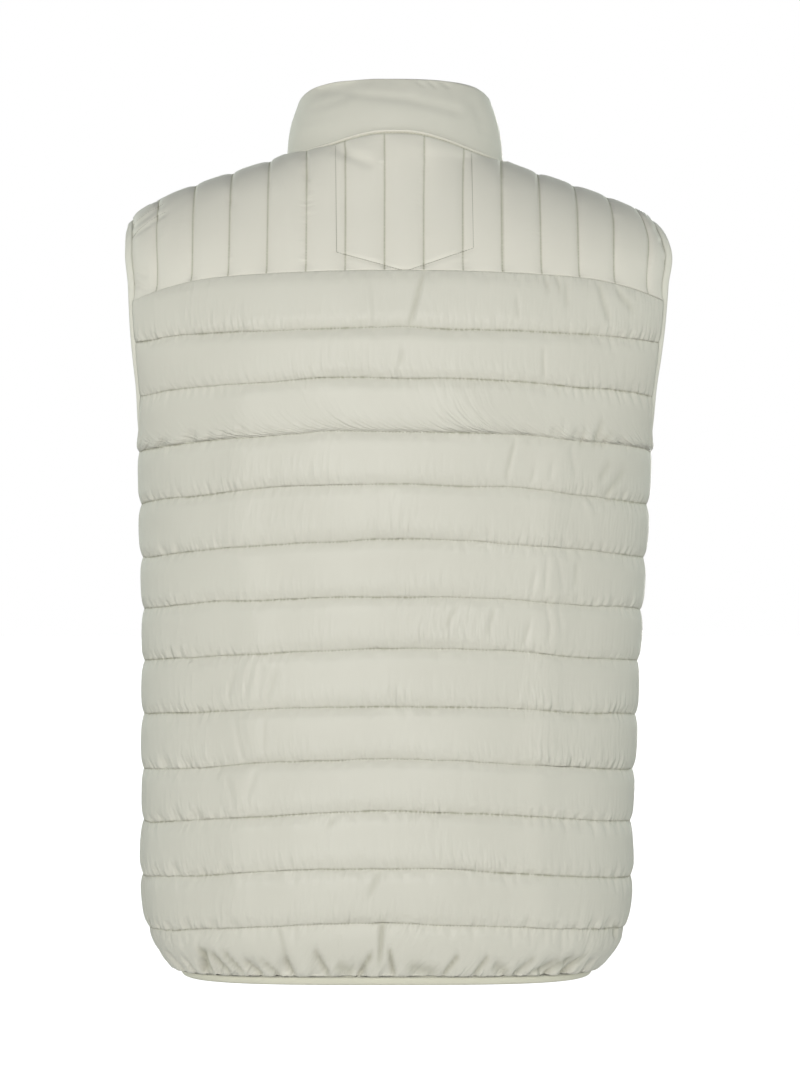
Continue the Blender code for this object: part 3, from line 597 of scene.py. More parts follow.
def body_panel(facing, side, columns, seed):
    """Quilted body panel after its simulation."""
    rng = np.random.default_rng(seed)
    rows, base, out = body_grid(facing, side, columns, rng)
    v = rows % 1.0
    run = run_length(base, 1)
    edge = np.minimum(run, run[:, -1:] - run)
    loft = WALL + BODY_LOFT - BODY_SEWN
    rise = loft * (1 - np.abs(2 * v ** BODY_SAG - 1) ** BODY_ROUND)
    sewn = BODY_SEWN + (JOIN_SEWN - BODY_SEWN) * smooth(1 - rows, 0.0, 1.0)
    rise = (loft + BODY_SEWN - sewn) / loft * rise
    lift = sewn[:, None] + rise[:, None] * edge_fade(edge, BODY_FADE)
    held = (v == 0.0)[:, None] | (edge < 1e-9)
    plain = base + out * lift[..., None]
    uneven = slanted(soft_noise(rng, edge.shape, (14, columns // 2)))
    start = base + out * (lift + BODY_UNEVEN * uneven * ~held)[..., None]
    step = step_length(plain, 1)
    along = body_cut(rows, base, step, rng)
    loose = soft_noise(rng, (len(rows) - 1, columns + 1), (13, 9))
    down = step_length(plain, 0) * (1.001 + 0.003 * loose)
    cloth = settle(start, out, held, along, down)
    cloth = keep_between(cloth, base, out, 0.4 * BODY_SEWN, WALL + BODY_LOFT)
    # Folds at the hem don't hang over its tape.
    upright = base + out * stand_over(cloth, base, out)[..., None]
    low = smooth(rows, LAST_ROW - 0.5, LAST_ROW - 0.1)[:, None, None]
    cloth += (upright - cloth) * low * (0, 0, 1)
    patch = smooth(slanted(soft_noise(rng, edge.shape, (18, columns // 12))), 0.0, 0.8)
    return Quilt(v, base, out, cloth, patch, None)


def yoke_columns(marks, signs):
    """Places of a yoke's columns, and their shares of the way between two lines of stitching."""
    corners = [NECK_CENTRE + sign * NECK_HALF * math.sin(math.radians(turn))
               for sign in signs for turn in NECK_TURNS]
    xs = []
    vs = []
    for a, b in zip(marks, marks[1:]):
        mine = [c for c in corners if 0.02 < (c - a) / (b - a) < 0.98]
        plain = [a + (b - a) * s for s in cluster(YOKE_STEPS, 0.6)[:-1]]
        clear = [x for x in plain[1:] if all(abs(x - c) > COLUMN_GAP for c in mine)]
        spots = plain[:1] + clear + mine
        spots.sort(key=lambda x: (x - a) / (b - a))
        xs += spots
        vs += [(x - a) / (b - a) for x in spots]
    return np.array([*xs, marks[-1]]), np.array([*vs, 0.0])


def armhole_limit(sign, shares, facing):
    """Distance from the centre line at which a yoke meets the armhole, at shares of its way up."""
    def on_yoke(x):
        y, z = np.moveaxis(yoke_point(sign * x, shares, facing), -1, 0)[1:]
        return outside_armhole(y, z) > 0

    return bisect(on_yoke, ARMHOLE_IN + 0.0 * shares, ARMHOLE_OUT + 0.0 * shares)


def yoke_grid(facing, side):
    """Channel shares of the columns, form points and outward directions of a yoke."""
    if facing > 0:
        lines = [BACK_CENTRE + YOKE_PITCH * (k + 0.5) for k in range(-YOKE_LINES, YOKE_LINES)]
        marks = [-YOKE_REACH, *lines, YOKE_REACH]
        signs = (-1, 1)
    else:
        lines = [FRONT_CENTRE + side * YOKE_PITCH * (k + 0.5) for k in range(YOKE_LINES)]
        marks = [FRONT_CENTRE + side * ZIP_SLOT, *lines, side * YOKE_REACH]
        signs = (side,)
    xs, vs = yoke_columns(marks, signs)
    shares = np.linspace(0.0, 1.0, 21)
    limits = {sign: armhole_limit(sign, shares, facing) for sign in signs}

    def columns_at(t):
        x = xs + 0.0 * t
        share = np.clip((np.abs(xs) - FIXED_COLUMNS) / (YOKE_REACH - FIXED_COLUMNS), 0.0, 1.0)
        for sign, limit in limits.items():
            shift = np.interp(t, shares, limit) - YOKE_REACH
            x = np.where(np.sign(xs) == sign, xs + sign * shift * share ** 2, x)
        return x

    t = np.linspace(0.0, 1.0, 41)[:, None] + 0.0 * xs
    run = run_length(yoke_point(columns_at(t), t, facing), 0)
    # Rows run level below, and only the upper ones follow the neck's corner.
    share = cluster(YOKE_ROWS, 0.35)[:, None]
    height = run[-1] - TOP_ROWS
    near = np.exp(-((xs - xs[:, None]) / 0.03) ** 2) * np.gradient(np.abs(xs))
    even = near @ height / near.sum(axis=1)
    lower = share * (even + (height - even) * share ** 4)
    place = np.concatenate([lower, run[-1] - RIDGE_DISTANCE])
    t = np.stack([np.interp(p, r, t[:, 0]) for p, r in zip(place.T, run.T)], axis=1)
    base = yoke_point(columns_at(t), t, facing)
    return vs, base, normals(base)


def yoke_lift(vs, base, neck):
    """Stand of a yoke's cloth over the form, as cut."""
    down_run = run_length(base, 0)
    along_run = run_length(base, 1)
    edge = np.minimum(along_run, along_run[:, -1:] - along_run)
    loft = WALL + YOKE_LOFT - YOKE_SEWN
    rise = YOKE_CUT * loft * (1 - np.abs(2 * vs - 1) ** YOKE_ROUND)
    foot = np.clip(down_run / YOKE_FOOT, 0.0, 1.0)
    close = np.minimum(foot * (2 - foot), edge_fade(down_run[-1] - down_run - TOPSTITCH, YOKE_FADE))
    # Over the shoulder the quilting is drawn tight, and its lines lie less deep.
    tight = smooth(down_run / down_run[-1], 0.55, 0.95) * (1 - neck)
    lift = YOKE_SEWN + SHOULDER_RISE * tight
    lift += rise * (1 - SHOULDER_TIGHT * tight) * np.minimum(close, edge_fade(edge, YOKE_FADE))
    lift += (JOIN_SEWN - YOKE_SEWN) * np.exp(-down_run / JOIN_OVER)
    # The ridge of the felled seam runs round the neck. The shoulder seam is plain.
    felled = NECK_SEWN + np.array([r.rise for r in RIDGE])[:, None]
    near = smooth(RIDGE_DISTANCE, 0.0, RIDGE[0].distance)
    beside = YOKE_SEWN + SHOULDER_RISE - SHOULDER_SEWN + (1 - SHOULDER_TIGHT) * EDGE_SHARE * rise
    plain_seam = SHOULDER_SEWN + beside * near
    lift[-len(RIDGE):] = plain_seam + (felled - plain_seam) * neck
    return lift


def evened(field, run, usual):
    """Field whose unusual columns take the values between their usual neighbours."""
    return np.stack([np.interp(run, run[usual], row[usual]) for row in field])


def yoke_panel(facing, side, seed):
    """Quilted yoke after its simulation."""
    rng = np.random.default_rng(seed)
    vs, base, out = yoke_grid(facing, side)
    neck = 1 - smooth(np.abs(base[-1, :, 0] - NECK_CENTRE) / NECK_HALF, 0.975, 0.999)
    lift = yoke_lift(vs, base, neck)
    held = np.zeros(lift.shape, bool)
    held[:, vs == 0.0] = True
    held[0] = True
    held[-len(RIDGE):] = True
    plain = base + out * lift[..., None]
    uneven = soft_noise(rng, lift.shape, (30, 60))
    start = base + out * (lift + YOKE_UNEVEN * uneven * ~held)[..., None]
    along = step_length(plain, 1) * (1.000 + 0.003 * soft_noise(rng, (len(base), len(vs) - 1), (5, 20)))
    down = step_length(plain, 0)
    spare = 0.006 * np.maximum(0.0, soft_noise(rng, down.shape, (6, 24)) - 0.2)
    cloth = settle(start, out, held, along, down * (YOKE_TAUT + spare))
    cloth = keep_between(cloth, base, out, YOKE_LEAST, WALL + YOKE_LOFT + YOKE_OVER)
    # The narrow columns at the neck's corners follow their neighbours below it.
    offset = cloth - base
    run = run_length(base[0], 0)
    width = np.diff(run)
    narrower = np.minimum(np.pad(width, (1, 0), "edge"), np.pad(width, (0, 1), "edge"))
    usual = (narrower > NARROW) | (vs == 0.0)
    down_run = run_length(base, 0)
    below = smooth(down_run[-1] - down_run, 0.004, 0.02)
    even = np.stack([evened(offset[..., k], run, usual) for k in range(3)], axis=-1)
    cloth = base + offset + below[..., None] * (even - offset)
    patch = smooth(soft_noise(rng, lift.shape, (8, 30)), 0.2, 0.9)
    return Quilt(vs, base, out, cloth, evened(patch, run, usual), neck)


# Meshes

def new_mesh(name, points, faces, smooth_faces=True):
    """Object from points and faces, turned outward, that rides on the vest."""
    mesh = bpy.data.meshes.new(name)
    mesh.from_pydata(points.tolist(), [], faces)
    bm = bmesh.new()
    bm.from_mesh(mesh)
    bmesh.ops.recalc_face_normals(bm, faces=bm.faces)
    bm.to_mesh(mesh)
    bm.free()
    mesh.polygons.foreach_set("use_smooth", [smooth_faces] * len(mesh.polygons))
    obj = bpy.data.objects.new(name, mesh)
    bpy.context.scene.collection.objects.link(obj)
    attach(obj, "vest")
    return obj


def quads(number):
    """Faces between neighbours in a grid of point numbers."""
    corners = (number[:-1, :-1], number[:-1, 1:], number[1:, 1:], number[1:, :-1])
    return np.stack(corners, axis=-1).reshape(-1, 4).tolist()


def set_field(mesh, name, values):
    """Value at each point that the materials read."""
    field = mesh.attributes.new(name, "FLOAT", "POINT")
    field.data.foreach_set("value", np.asarray(values, np.float32))


def set_cloth_lines(mesh, along, down):
    """Places on the flat cloth, in metres, that the weave follows."""
    corner = np.empty(len(mesh.loops), np.int32)
    mesh.loops.foreach_get("vertex_index", corner)
    layer = mesh.uv_layers.new(name="cloth")
    layer.data.foreach_set("uv", np.stack([along, down], axis=-1)[corner].astype(np.float32).ravel())


def padded_panel(name, outer, inner, rows, columns, fields, upright):
    """Closed padded piece: a fine outer cloth, and an inner cloth on some of its rows and columns."""
    high, wide = outer.shape[:2]
    number = np.arange(high * wide).reshape(high, wide)
    lining = number.size + np.arange(len(rows) * len(columns)).reshape(len(rows), len(columns))
    faces = quads(number) + quads(lining)
    sides = (
        (number[0], lining[0], columns), (number[-1], lining[-1], columns),
        (number[:, 0], lining[:, 0], rows), (number[:, -1], lining[:, -1], rows))
    for rim, under, marks in sides:
        for k, (a, b) in enumerate(zip(marks, marks[1:])):
            fan = [*rim[a:b + 1].tolist(), int(under[k + 1])]
            faces += [(int(under[k]), p, q) for p, q in zip(fan, fan[1:])]
    kept = np.ix_(rows, columns)
    points = np.concatenate([outer.reshape(-1, 3), inner[kept].reshape(-1, 3)])
    obj = new_mesh(name, points, faces)
    along = run_length(inner, 1)
    down = run_length(inner, 0)
    if upright:
        along = along[:1] + 0.0 * along
    lines = (down, along) if upright else (along, down)
    set_cloth_lines(obj.data, *(np.concatenate([f.ravel(), f[kept].ravel()]) for f in lines))
    for word, field in fields.items():
        set_field(obj.data, word, np.concatenate([field.ravel(), 0.0 * field[kept].ravel()]))
    return obj


# Listed creases

CAMERA_BACK = 2.8        # distance from the origin's upright plane to the camera
CAMERA_LEVEL = -0.3166
PIXEL = 0.00085          # one photograph pixel in the origin's upright plane
PICTURE_CENTRE = (399.5, 533.5)

FOLD_FADE = 0.4          # share of a fold's length over which each of its ends fades

Crease = namedtuple("Crease", "x0 y0 x1 y1 width depth")
# A fold from one photograph pixel to another, its half width in pixels and its depth in metres.


def in_picture(points):
    """Photograph pixels of points, as columns across and down."""
    scale = CAMERA_BACK / (CAMERA_BACK - points[..., 1]) / PIXEL
    across = PICTURE_CENTRE[0] - points[..., 0] * scale
    down = PICTURE_CENTRE[1] - (points[..., 2] - CAMERA_LEVEL) * scale
    return across, down


def crease_shift(cloth, out, creases):
    """How far short folds press the cloth in (below zero) or raise it, in metres."""
    across, down = in_picture(cloth)
    shift = np.zeros(across.shape)
    for fold in creases:
        dx = fold.x1 - fold.x0
        dy = fold.y1 - fold.y0
        size = math.hypot(dx, dy)
        along = ((across - fold.x0) * dx + (down - fold.y0) * dy) / size
        aside = ((across - fold.x0) * dy - (down - fold.y0) * dx) / size
        end = np.clip(np.minimum(along, size - along) / (FOLD_FADE * size) + 0.5, 0.0, 1.0)
        shift -= fold.depth * end * end * (3 - 2 * end) * np.exp(-(aside / fold.width) ** 2)
    # The pixels name places on the back, and the front keeps its shape.
    on_back = out[..., 1] > -0.2
    return shift * on_back


def creased(cloth, out, creases):
    """Cloth with folds pressed in, or raised where the depth is negative, along short lines."""
    return cloth + out * crease_shift(cloth, out, creases)[..., None]


BODY_CREASES = (
    Crease(423, 272, 409, 326, 2.2, 0.0020),
    Crease(403, 350, 400, 363, 1.8, 0.0010),
    Crease(543, 350, 544, 376, 2.0, 0.0010),
    Crease(516, 296, 518, 317, 2.0, 0.0008),
    Crease(544, 276, 549, 291, 2.0, 0.0012),
    Crease(556, 276, 561, 292, 2.0, 0.0012),
    Crease(617, 290, 634, 311, 3.0, 0.0015),
    Crease(599, 285, 609, 320, 3.0, 0.0014),
    Crease(566, 282, 567, 306, 3.0, 0.0010),
    Crease(366, 278, 369, 320, 3.5, -0.0010),
    Crease(565, 422, 560, 438, 2.2, 0.0012),
    Crease(586, 427, 580, 444, 2.4, 0.0014),
    Crease(603, 421, 594, 445, 2.4, 0.0017),
    Crease(613, 432, 601, 445, 2.2, 0.0015),
    Crease(515, 440, 506, 478, 2.4, 0.0012),
    Crease(535, 468, 531, 483, 2.2, 0.0012),
    Crease(553, 461, 549, 481, 2.4, 0.0012),
    Crease(570, 446, 575, 472, 2.6, 0.0012),
    Crease(610, 464, 599, 480, 2.4, 0.0014),
    Crease(624, 471, 606, 496, 2.6, 0.0015),
    Crease(585, 499, 593, 516, 2.4, -0.0012),
    Crease(535, 571, 531, 594, 2.4, 0.0012),
    Crease(546, 559, 544, 594, 2.4, 0.0014),
    Crease(557, 559, 563, 589, 2.4, 0.0010),
    Crease(577, 561, 575, 586, 2.4, 0.0010),
    Crease(544, 602, 550, 628, 2.4, 0.0014),
    Crease(550, 626, 547, 643, 2.4, 0.0012),
    Crease(557, 605, 561, 631, 2.4, 0.0010),
    Crease(494, 609, 488, 635, 2.4, 0.0010),
    Crease(458, 606, 444, 630, 2.4, 0.0010),
    Crease(531, 620, 522, 647, 2.4, 0.0012),
    Crease(263, 664, 257, 705, 2.8, 0.0012),
    Crease(275, 673, 264, 705, 2.8, 0.0014),
    Crease(234, 670, 228, 700, 2.8, 0.0010),
    Crease(254, 656, 244, 697, 2.8, 0.0010),
    Crease(235, 721, 242, 760, 2.8, 0.0014),
    Crease(242, 725, 246, 745, 2.4, 0.0010),
    Crease(263, 718, 262, 752, 2.4, 0.0010),
    Crease(226, 776, 234, 810, 2.8, 0.0012),
    Crease(255, 773, 245, 800, 2.8, 0.0014),
    Crease(334, 817, 327, 829, 2.2, 0.0012),
    Crease(379, 872, 369, 897, 2.6, 0.0015),
    Crease(382, 922, 379, 962, 2.2, 0.0029),
    Crease(278, 930, 286, 964, 2.4, 0.0015),
    Crease(285, 960, 293, 976, 1.9, 0.0033),
    Crease(314, 952, 328, 976, 2.2, 0.0033),
    Crease(371, 955, 358, 976, 2.2, 0.0040),
    Crease(389, 952, 393, 975, 1.9, 0.0044),
    Crease(458, 957, 443, 976, 2.2, 0.0040),
    Crease(488, 958, 474, 976, 2.2, 0.0036),
    Crease(197, 949, 211, 974, 2.1, 0.0036),
    Crease(208, 952, 229, 974, 2.1, 0.0033),
    Crease(221, 952, 242, 974, 2.1, 0.0033),
    Crease(244, 961, 262, 976, 2.1, 0.0029),
    Crease(260, 961, 278, 976, 2.1, 0.0029),
    Crease(558, 961, 529, 975, 2.2, 0.0029),
    Crease(571, 959, 543, 975, 2.2, 0.0033),
    Crease(584, 957, 560, 974, 2.2, 0.0033),
    Crease(535, 959, 512, 976, 2.2, 0.0026),
    Crease(615, 922, 614, 937, 2.0, 0.0018),
    Crease(203, 950, 204, 972, 3.2, 0.0030),
    Crease(336, 967, 353, 974, 6.0, 0.0028),
    Crease(408, 968, 436, 974, 6.0, 0.0024),
    Crease(494, 966, 508, 974, 5.0, 0.0024),
    # Folds down both sides of the back, where the cloth turns away.
    Crease(240, 390, 238, 540, 18.0, -0.0022),
    Crease(238, 540, 258, 650, 18.0, -0.0022),
    Crease(258, 650, 244, 740, 18.0, -0.0022),
    Crease(244, 740, 232, 930, 18.0, -0.0022),
    Crease(562, 420, 545, 560, 18.0, -0.0022),
    Crease(545, 560, 550, 650, 18.0, -0.0022),
    Crease(550, 650, 541, 780, 18.0, -0.0022),
    Crease(541, 780, 543, 930, 18.0, -0.0022),
)
YOKE_CREASES = (
    Crease(333, 147, 370, 163, 6.0, 0.0020),
    Crease(655, 228, 668, 241, 2.4, 0.0010),
    Crease(659, 240, 668, 252, 2.4, 0.0010),
    Crease(662, 258, 668, 268, 2.4, 0.0007),
    Crease(135, 271, 146, 276, 2.4, 0.0008),
    Crease(134, 283, 147, 290, 2.4, 0.0008),
    Crease(166, 212, 132, 236, 2.2, 0.0010),
    Crease(163, 204, 128, 230, 2.2, 0.0010),
    Crease(304, 172, 309, 181, 3.0, 0.0008),
    Crease(226, 199, 236, 204, 3.0, 0.0007),
    Crease(336, 252, 405, 271, 1.8, 0.0007),
    Crease(405, 271, 473, 248, 1.8, 0.0007),
    Crease(335, 150, 336, 252, 1.8, 0.0006),
    Crease(473, 248, 471, 150, 1.8, 0.0006),
)
COLLAR_CREASES = (
    Crease(338, 92, 411, 99, 4.0, 0.0011),
    Crease(405, 98, 462, 112, 4.5, 0.0012),
    Crease(313, 108, 346, 97, 3.5, 0.0008),
    Crease(318, 91, 352, 82, 7.0, 0.0020),
    Crease(416, 80, 424, 86, 1.6, 0.0010),
    Crease(428, 80, 436, 87, 1.6, 0.0012),
    Crease(439, 81, 450, 87, 1.8, 0.0010),
    Crease(478, 128, 496, 138, 2.5, 0.0008),
    Crease(470, 100, 486, 128, 5.0, 0.0007),
    Crease(300, 132, 330, 122, 6.0, -0.0006),
)


def at_places(place, run, values):
    """Values of a line at distances along it."""
    return np.stack([np.interp(place, run, column) for column in values.T], axis=-1)


def inside_ends(count, width):
    """Share for each of a row of columns: zero at both ends, and one from a number of columns in."""
    column = np.arange(count)
    return smooth(column, 0, width) * smooth(count - 1 - column, 0, width)


def loft(name, rings, closed, slot):
    """Piece through loops of points. rings has one row for each point of the loop, columns along it."""
    around, count = rings.shape[:2]
    number = np.arange(around * count).reshape(around, count)
    number = np.concatenate([number, number[:1]])
    if closed:
        number = np.concatenate([number, number[:, :1]], axis=1)
    faces = quads(number)
    if not closed:
        faces += [number[:-1, 0].tolist(), number[:-1, -1].tolist()]
    obj = new_mesh(name, rings.reshape(-1, 3), faces)
    along = run_length(rings, 1)
    down = run_length(rings, 0)
    set_cloth_lines(obj.data, along.ravel(), down.ravel())
    return obj


# Collar

COLLAR_COLUMNS = 260
COLLAR_ROWS = 22
COLLAR_LINING = np.linspace(0.94, 0.0, 12)     # rows of the inner leaf, as shares of the height
COLLAR_END = 14          # columns beside the zip over which the collar flattens
COLLAR_PUFF = 0.0007     # unevenness of the face
COLLAR_WAVE = 0.0006     # of the top edge
COLLAR_ROUND = 1.2       # power of the bulge over the height
SEWN_LEAVES = 2.3        # leaves of cloth in the sewn ends
FOLD_FROM = 0.965        # share of the height at which the top fold starts
FOLD_RISE = 0.035
FOLD_TURNS = np.radians((25.0, 60.0, 90.0, 120.0, 155.0))
UP = np.array([0.0, 0.0, 1.0])


def neck_line(count):
    """Points of the neck seam, from the left of the zip round the back to the right of it."""
    first = math.asin((FRONT_CENTRE + ZIP_SLOT - NECK_CENTRE) / NECK_HALF)
    last = 2 * math.pi + math.asin((FRONT_CENTRE - ZIP_SLOT - NECK_CENTRE) / NECK_HALF)
    turn = np.linspace(first, last, count)
    x = NECK_CENTRE + NECK_HALF * np.sin(turn)
    y = -np.where(np.cos(turn) > 0, NECK_FRONT, NECK_BACK) * np.cos(turn)
    z = bisect(lambda level: reach(x, y, level) < 1, -0.12 + 0.0 * x, 0.06 + 0.0 * x)
    return np.stack([x, y, z], axis=-1)


def collar_faces(neck):
    """Foot and top points of the collar's outer face over the neck seam."""
    side = np.where(neck[:, 0] > FRONT_CENTRE, 1.0, -1.0)
    back = neck[:, 1] > 0
    foot = neck.copy()
    to_centre = np.array([NECK_CENTRE, 0.0]) - neck[:, :2]
    foot[:, :2] += SEAM_GAP * to_centre / np.linalg.norm(to_centre, axis=1, keepdims=True)
    # Beside the zip the collar keeps its place, and round the neck it narrows to its top.
    skew = side * (NECK_CENTRE - FRONT_CENTRE)
    out = side * (neck[:, 0] - FRONT_CENTRE)
    share = np.maximum(0.0, out - ZIP_SLOT) / (NECK_HALF + skew - ZIP_SLOT)
    top_out = np.minimum(out, ZIP_SLOT) + share * (COLLAR_TOP_HALF + skew - ZIP_SLOT)
    top_x = FRONT_CENTRE + side * top_out
    lean = np.sqrt(np.maximum(0.0, 1 - ((top_x - NECK_CENTRE) / COLLAR_TOP_HALF) ** 2))
    depth = np.where(back, COLLAR_TOP_BACK, -COLLAR_TOP_FRONT)
    share = np.where(back, lean, -lean)
    high, middle, low = COLLAR_TOP_LEVELS
    level = middle + (high - low) / 2 * share + ((high + low) / 2 - middle) * share * share
    return foot, np.stack([top_x, depth * lean, level], axis=-1)


def collar_bulge(share):
    """How far the collar stands out at shares of its height."""
    return (COLLAR_BULGE * np.sin(math.pi * share) ** COLLAR_ROUND)[:, None, None]


def collar_piece():
    """Stand collar: one band of doubled cloth, softly creased, with a rounded top fold."""
    rng = np.random.default_rng(21)
    foot, top = collar_faces(neck_line(COLLAR_COLUMNS))
    rise = top - foot
    out = unit(np.cross(np.gradient(foot, axis=0), rise))
    out *= np.sign(np.einsum("ij,ij->i", out[:, :2], foot[:, :2]))[:, None]
    share = cluster(COLLAR_ROWS, 0.3) * FOLD_FROM
    face = foot + rise * share[:, None, None] + out * collar_bulge(share)
    grid = face.shape[:2]
    puff = soft_noise(rng, grid, (3, 22)) * 0.7 + soft_noise(rng, grid, (5, 60)) * 0.3
    ends = inside_ends(COLLAR_COLUMNS, COLLAR_END)
    face += out * (COLLAR_PUFF * puff * smooth(share, 0.05, 0.5)[:, None] * ends)[..., None]
    face = creased(face, np.broadcast_to(out, face.shape), COLLAR_CREASES)
    wave = soft_noise(rng, (1, COLLAR_COLUMNS), (1, 30))[0] * COLLAR_WAVE * ends
    # The two leaves are sewn together beside the zip.
    thick = (SEWN_LEAVES * LEAF + (COLLAR_THICK - SEWN_LEAVES * LEAF) * ends)[:, None]
    fold = []
    for turn in FOLD_TURNS:
        inward = thick * 0.5 * (1 - math.cos(turn))
        height = FOLD_FROM + FOLD_RISE * math.sin(turn)
        fold.append(foot + rise * height - out * inward + UP * (wave * math.sin(turn))[:, None])
    lining = foot + rise * COLLAR_LINING[:, None, None] - out * (thick - collar_bulge(COLLAR_LINING))
    hollow = np.concatenate([lining[::-1] + out * LEAF, face[::-2] - out * LEAF])
    rings = np.concatenate([face, np.array(fold), lining, hollow])
    piece = loft("collar_band", rings, False, "shell")
    height = 2 * np.linalg.norm(rise, axis=1).mean() + COLLAR_THICK
    return piece


# Elastic tapes

TAPE_SECTION = 11        # points across a tape
TAPE_EDGE = 0.42         # share of the thickness that is lost at the tape's edges
TAPE_INSIDE = 0.10       # rise of the inner face at its edges, as a share of the thickness
RIB = 0.00016
STITCH_IN = 0.0017       # stitching of a tape from its sewn edge
GROOVE = 0.0005          # depth of the stitching
GROOVE_HALF = 0.0007
FLARE = 0.45             # turn of an armhole tape away from the form behind the arm
FOOT_LAP = 0.0005        # lap of an armhole tape into the panels at its foot
FOOT_LAP_OVER = 0.008


def even_loop(points):
    """Closed loop with its points at even distances."""
    ring = np.concatenate([points, points[:1]])
    run = run_length(ring, 0)
    return at_places(np.linspace(0.0, run[-1], len(points), endpoint=False), run, ring)


def armhole_edge(side, count):
    """Points of an armhole's edge on the form and their outward directions."""
    turn = np.linspace(0.0, 2 * math.pi, count, endpoint=False)
    power = 2 / ARMHOLE_POWER
    width = np.where(np.sin(turn) > 0, ARMHOLE_BACK, ARMHOLE_FRONT)
    y = width * np.sign(np.sin(turn)) * np.abs(np.sin(turn)) ** power
    z = ARMHOLE_MIDDLE + ARMHOLE_HALF * np.sign(np.cos(turn)) * np.abs(np.cos(turn)) ** power
    centre, wide, back, front, curve = section(z)
    depth = np.where(y > 0, back, front)
    x = centre + side * wide * np.maximum(0.0, 1 - (np.abs(y) / depth) ** curve) ** (1 / curve)
    points = even_loop(np.stack([x, y, z], axis=-1))
    return points, normals(points)


def tape_directions(points, outs, toward, closed):
    """Directions across a tape, towards a point, and out from its face."""
    if closed:
        run = np.roll(points, -1, axis=0) - np.roll(points, 1, axis=0)
    else:
        run = np.gradient(points, axis=0)
    across = unit(np.cross(unit(run), outs))
    across *= np.sign(np.einsum("ij,ij->i", across, toward - points))[:, None]
    # Behind the arm an armhole tape stands out a little from the form.
    turn = (FLARE * smooth(points[:, 1], 0.01, 0.05) if closed else 0.0 * points[:, 1])[:, None]
    turned = across * np.cos(turn) + outs * np.sin(turn)
    return turned, outs * np.cos(turn) - across * np.sin(turn)


def tape_piece(name, points, outs, toward, width, thick, closed, seed):
    """Elastic tape folded over an edge, in fine ribs, and the line of its sewn groove."""
    rng = np.random.default_rng(seed)
    across, outs = tape_directions(points, outs, toward, closed)
    count = len(points)
    ribs = soft_noise(rng, (1, count), (1, count // 3))[0] * 0.6
    ribs = ribs + soft_noise(rng, (1, count), (1, count // 9))[0]
    if closed:
        ribs = ribs * inside_ends(count, 8)
    share = np.linspace(0.0, 1.0, TAPE_SECTION)
    crown = thick * (1 - TAPE_EDGE * np.abs(2 * share - 1) ** 4)
    in_groove = np.exp(-((share * width - STITCH_IN) / GROOVE_HALF) ** 2)
    groove = GROOVE * in_groove
    # At the foot of an armhole the corners of the panels are rounded, and the tape laps into them.
    lap = FOOT_LAP * np.exp(-(points[:, 1] / FOOT_LAP_OVER) ** 2) * (points[:, 2] < toward[2]) * closed

    def at(s, stand):
        return points + across * (SEAM_GAP + s * width - lap * (1 - s))[:, None] + outs * stand

    rings = []
    for s, rise, dip in zip(share, crown, groove):
        stand = rise - dip + RIB * ribs * math.sin(math.pi * min(1.0, 1.15 * s))
        rings.append(at(s, stand[:, None]))
    for s in share[::-1]:
        rings.append(at(s, thick * TAPE_INSIDE * (2 * s - 1) ** 4))
    # Inside of the folded tape
    for s in share[:-1:3]:
        rings.append(at(s, LEAF))
    for s in share[-2::-3]:
        rings.append(at(s, np.interp(s, share, crown) - LEAF))
    obj = loft(name, np.array(rings), closed, "binding")
    # Painted shade in the sewn groove.
    sewn = np.zeros((len(rings), count))
    sewn[:TAPE_SECTION] = 0.8 * in_groove[:, None]
    set_field(obj.data, "sewn", sewn.ravel())
    stand = np.interp(STITCH_IN / width, share, crown - groove)
    return obj, points + across * (SEAM_GAP + STITCH_IN) + outs * stand


# Sewing thread

STITCH = 0.0017
STITCH_PITCH = 0.0028
THREAD = 0.0008
THREAD_RISE = THREAD * 0.55
STITCH_FACES = np.array([
    (0, 2, 4), (0, 4, 3), (0, 3, 5), (0, 5, 2), (1, 4, 2), (1, 3, 4), (1, 5, 3), (1, 2, 5)])
STITCH_POINTS = 6


def stitches(lines, pitch=STITCH_PITCH, length=STITCH):
    """Points and faces of thread dashes along lines, each a pair of points and outward directions."""
    points = []
    faces = []
    total = 0
    for line, outs in lines:
        run = run_length(line, 0)
        middle = np.arange(pitch / 2, run[-1], pitch)
        start, mid, stop = (
            at_places(middle + shift, run, line) for shift in (-length / 2, 0.0, length / 2))
        up = unit(at_places(middle, run, outs))
        side = np.cross(stop - start, up)
        side /= np.maximum(np.linalg.norm(side, axis=1, keepdims=True), 1e-9)
        shallow = up * THREAD_RISE * 0.3
        corners = np.stack([
            start - shallow, stop - shallow,
            mid + side * THREAD / 2 + shallow, mid - side * THREAD / 2 + shallow,
            mid + up * THREAD_RISE, mid - up * THREAD_RISE], axis=1)
        first = total + STITCH_POINTS * np.arange(len(middle))[:, None, None]
        points.append(corners.reshape(-1, 3))
        faces += (first + STITCH_FACES).reshape(-1, 3).tolist()
        total += STITCH_POINTS * len(middle)
    return np.concatenate(points), faces


def sewing(name, lines, slot, **sizes):
    """Piece with the thread of several lines of stitching."""
    points, faces = stitches(lines, **sizes)
    return new_mesh(name, points, faces)


# Zip

ZIP_BEND = 0.012         # from the neck seam down to where the zip bends into the collar
ZIP_DEPTH = 0.55         # middle of the tapes in the wall, as a share of it
TOOTH_PITCH = 0.0029
TOOTH_LENGTH = 0.00165
TOOTH_BEVEL = 0.00035
TOOTH_TIP = -0.0008      # end of a tooth past the centre line
TOOTH_HEAD = 0.0003      # from there back to its widest part
TOOTH_WAIST = 0.0006     # from the centre line to its narrowest part
TOOTH_SIDES = 8
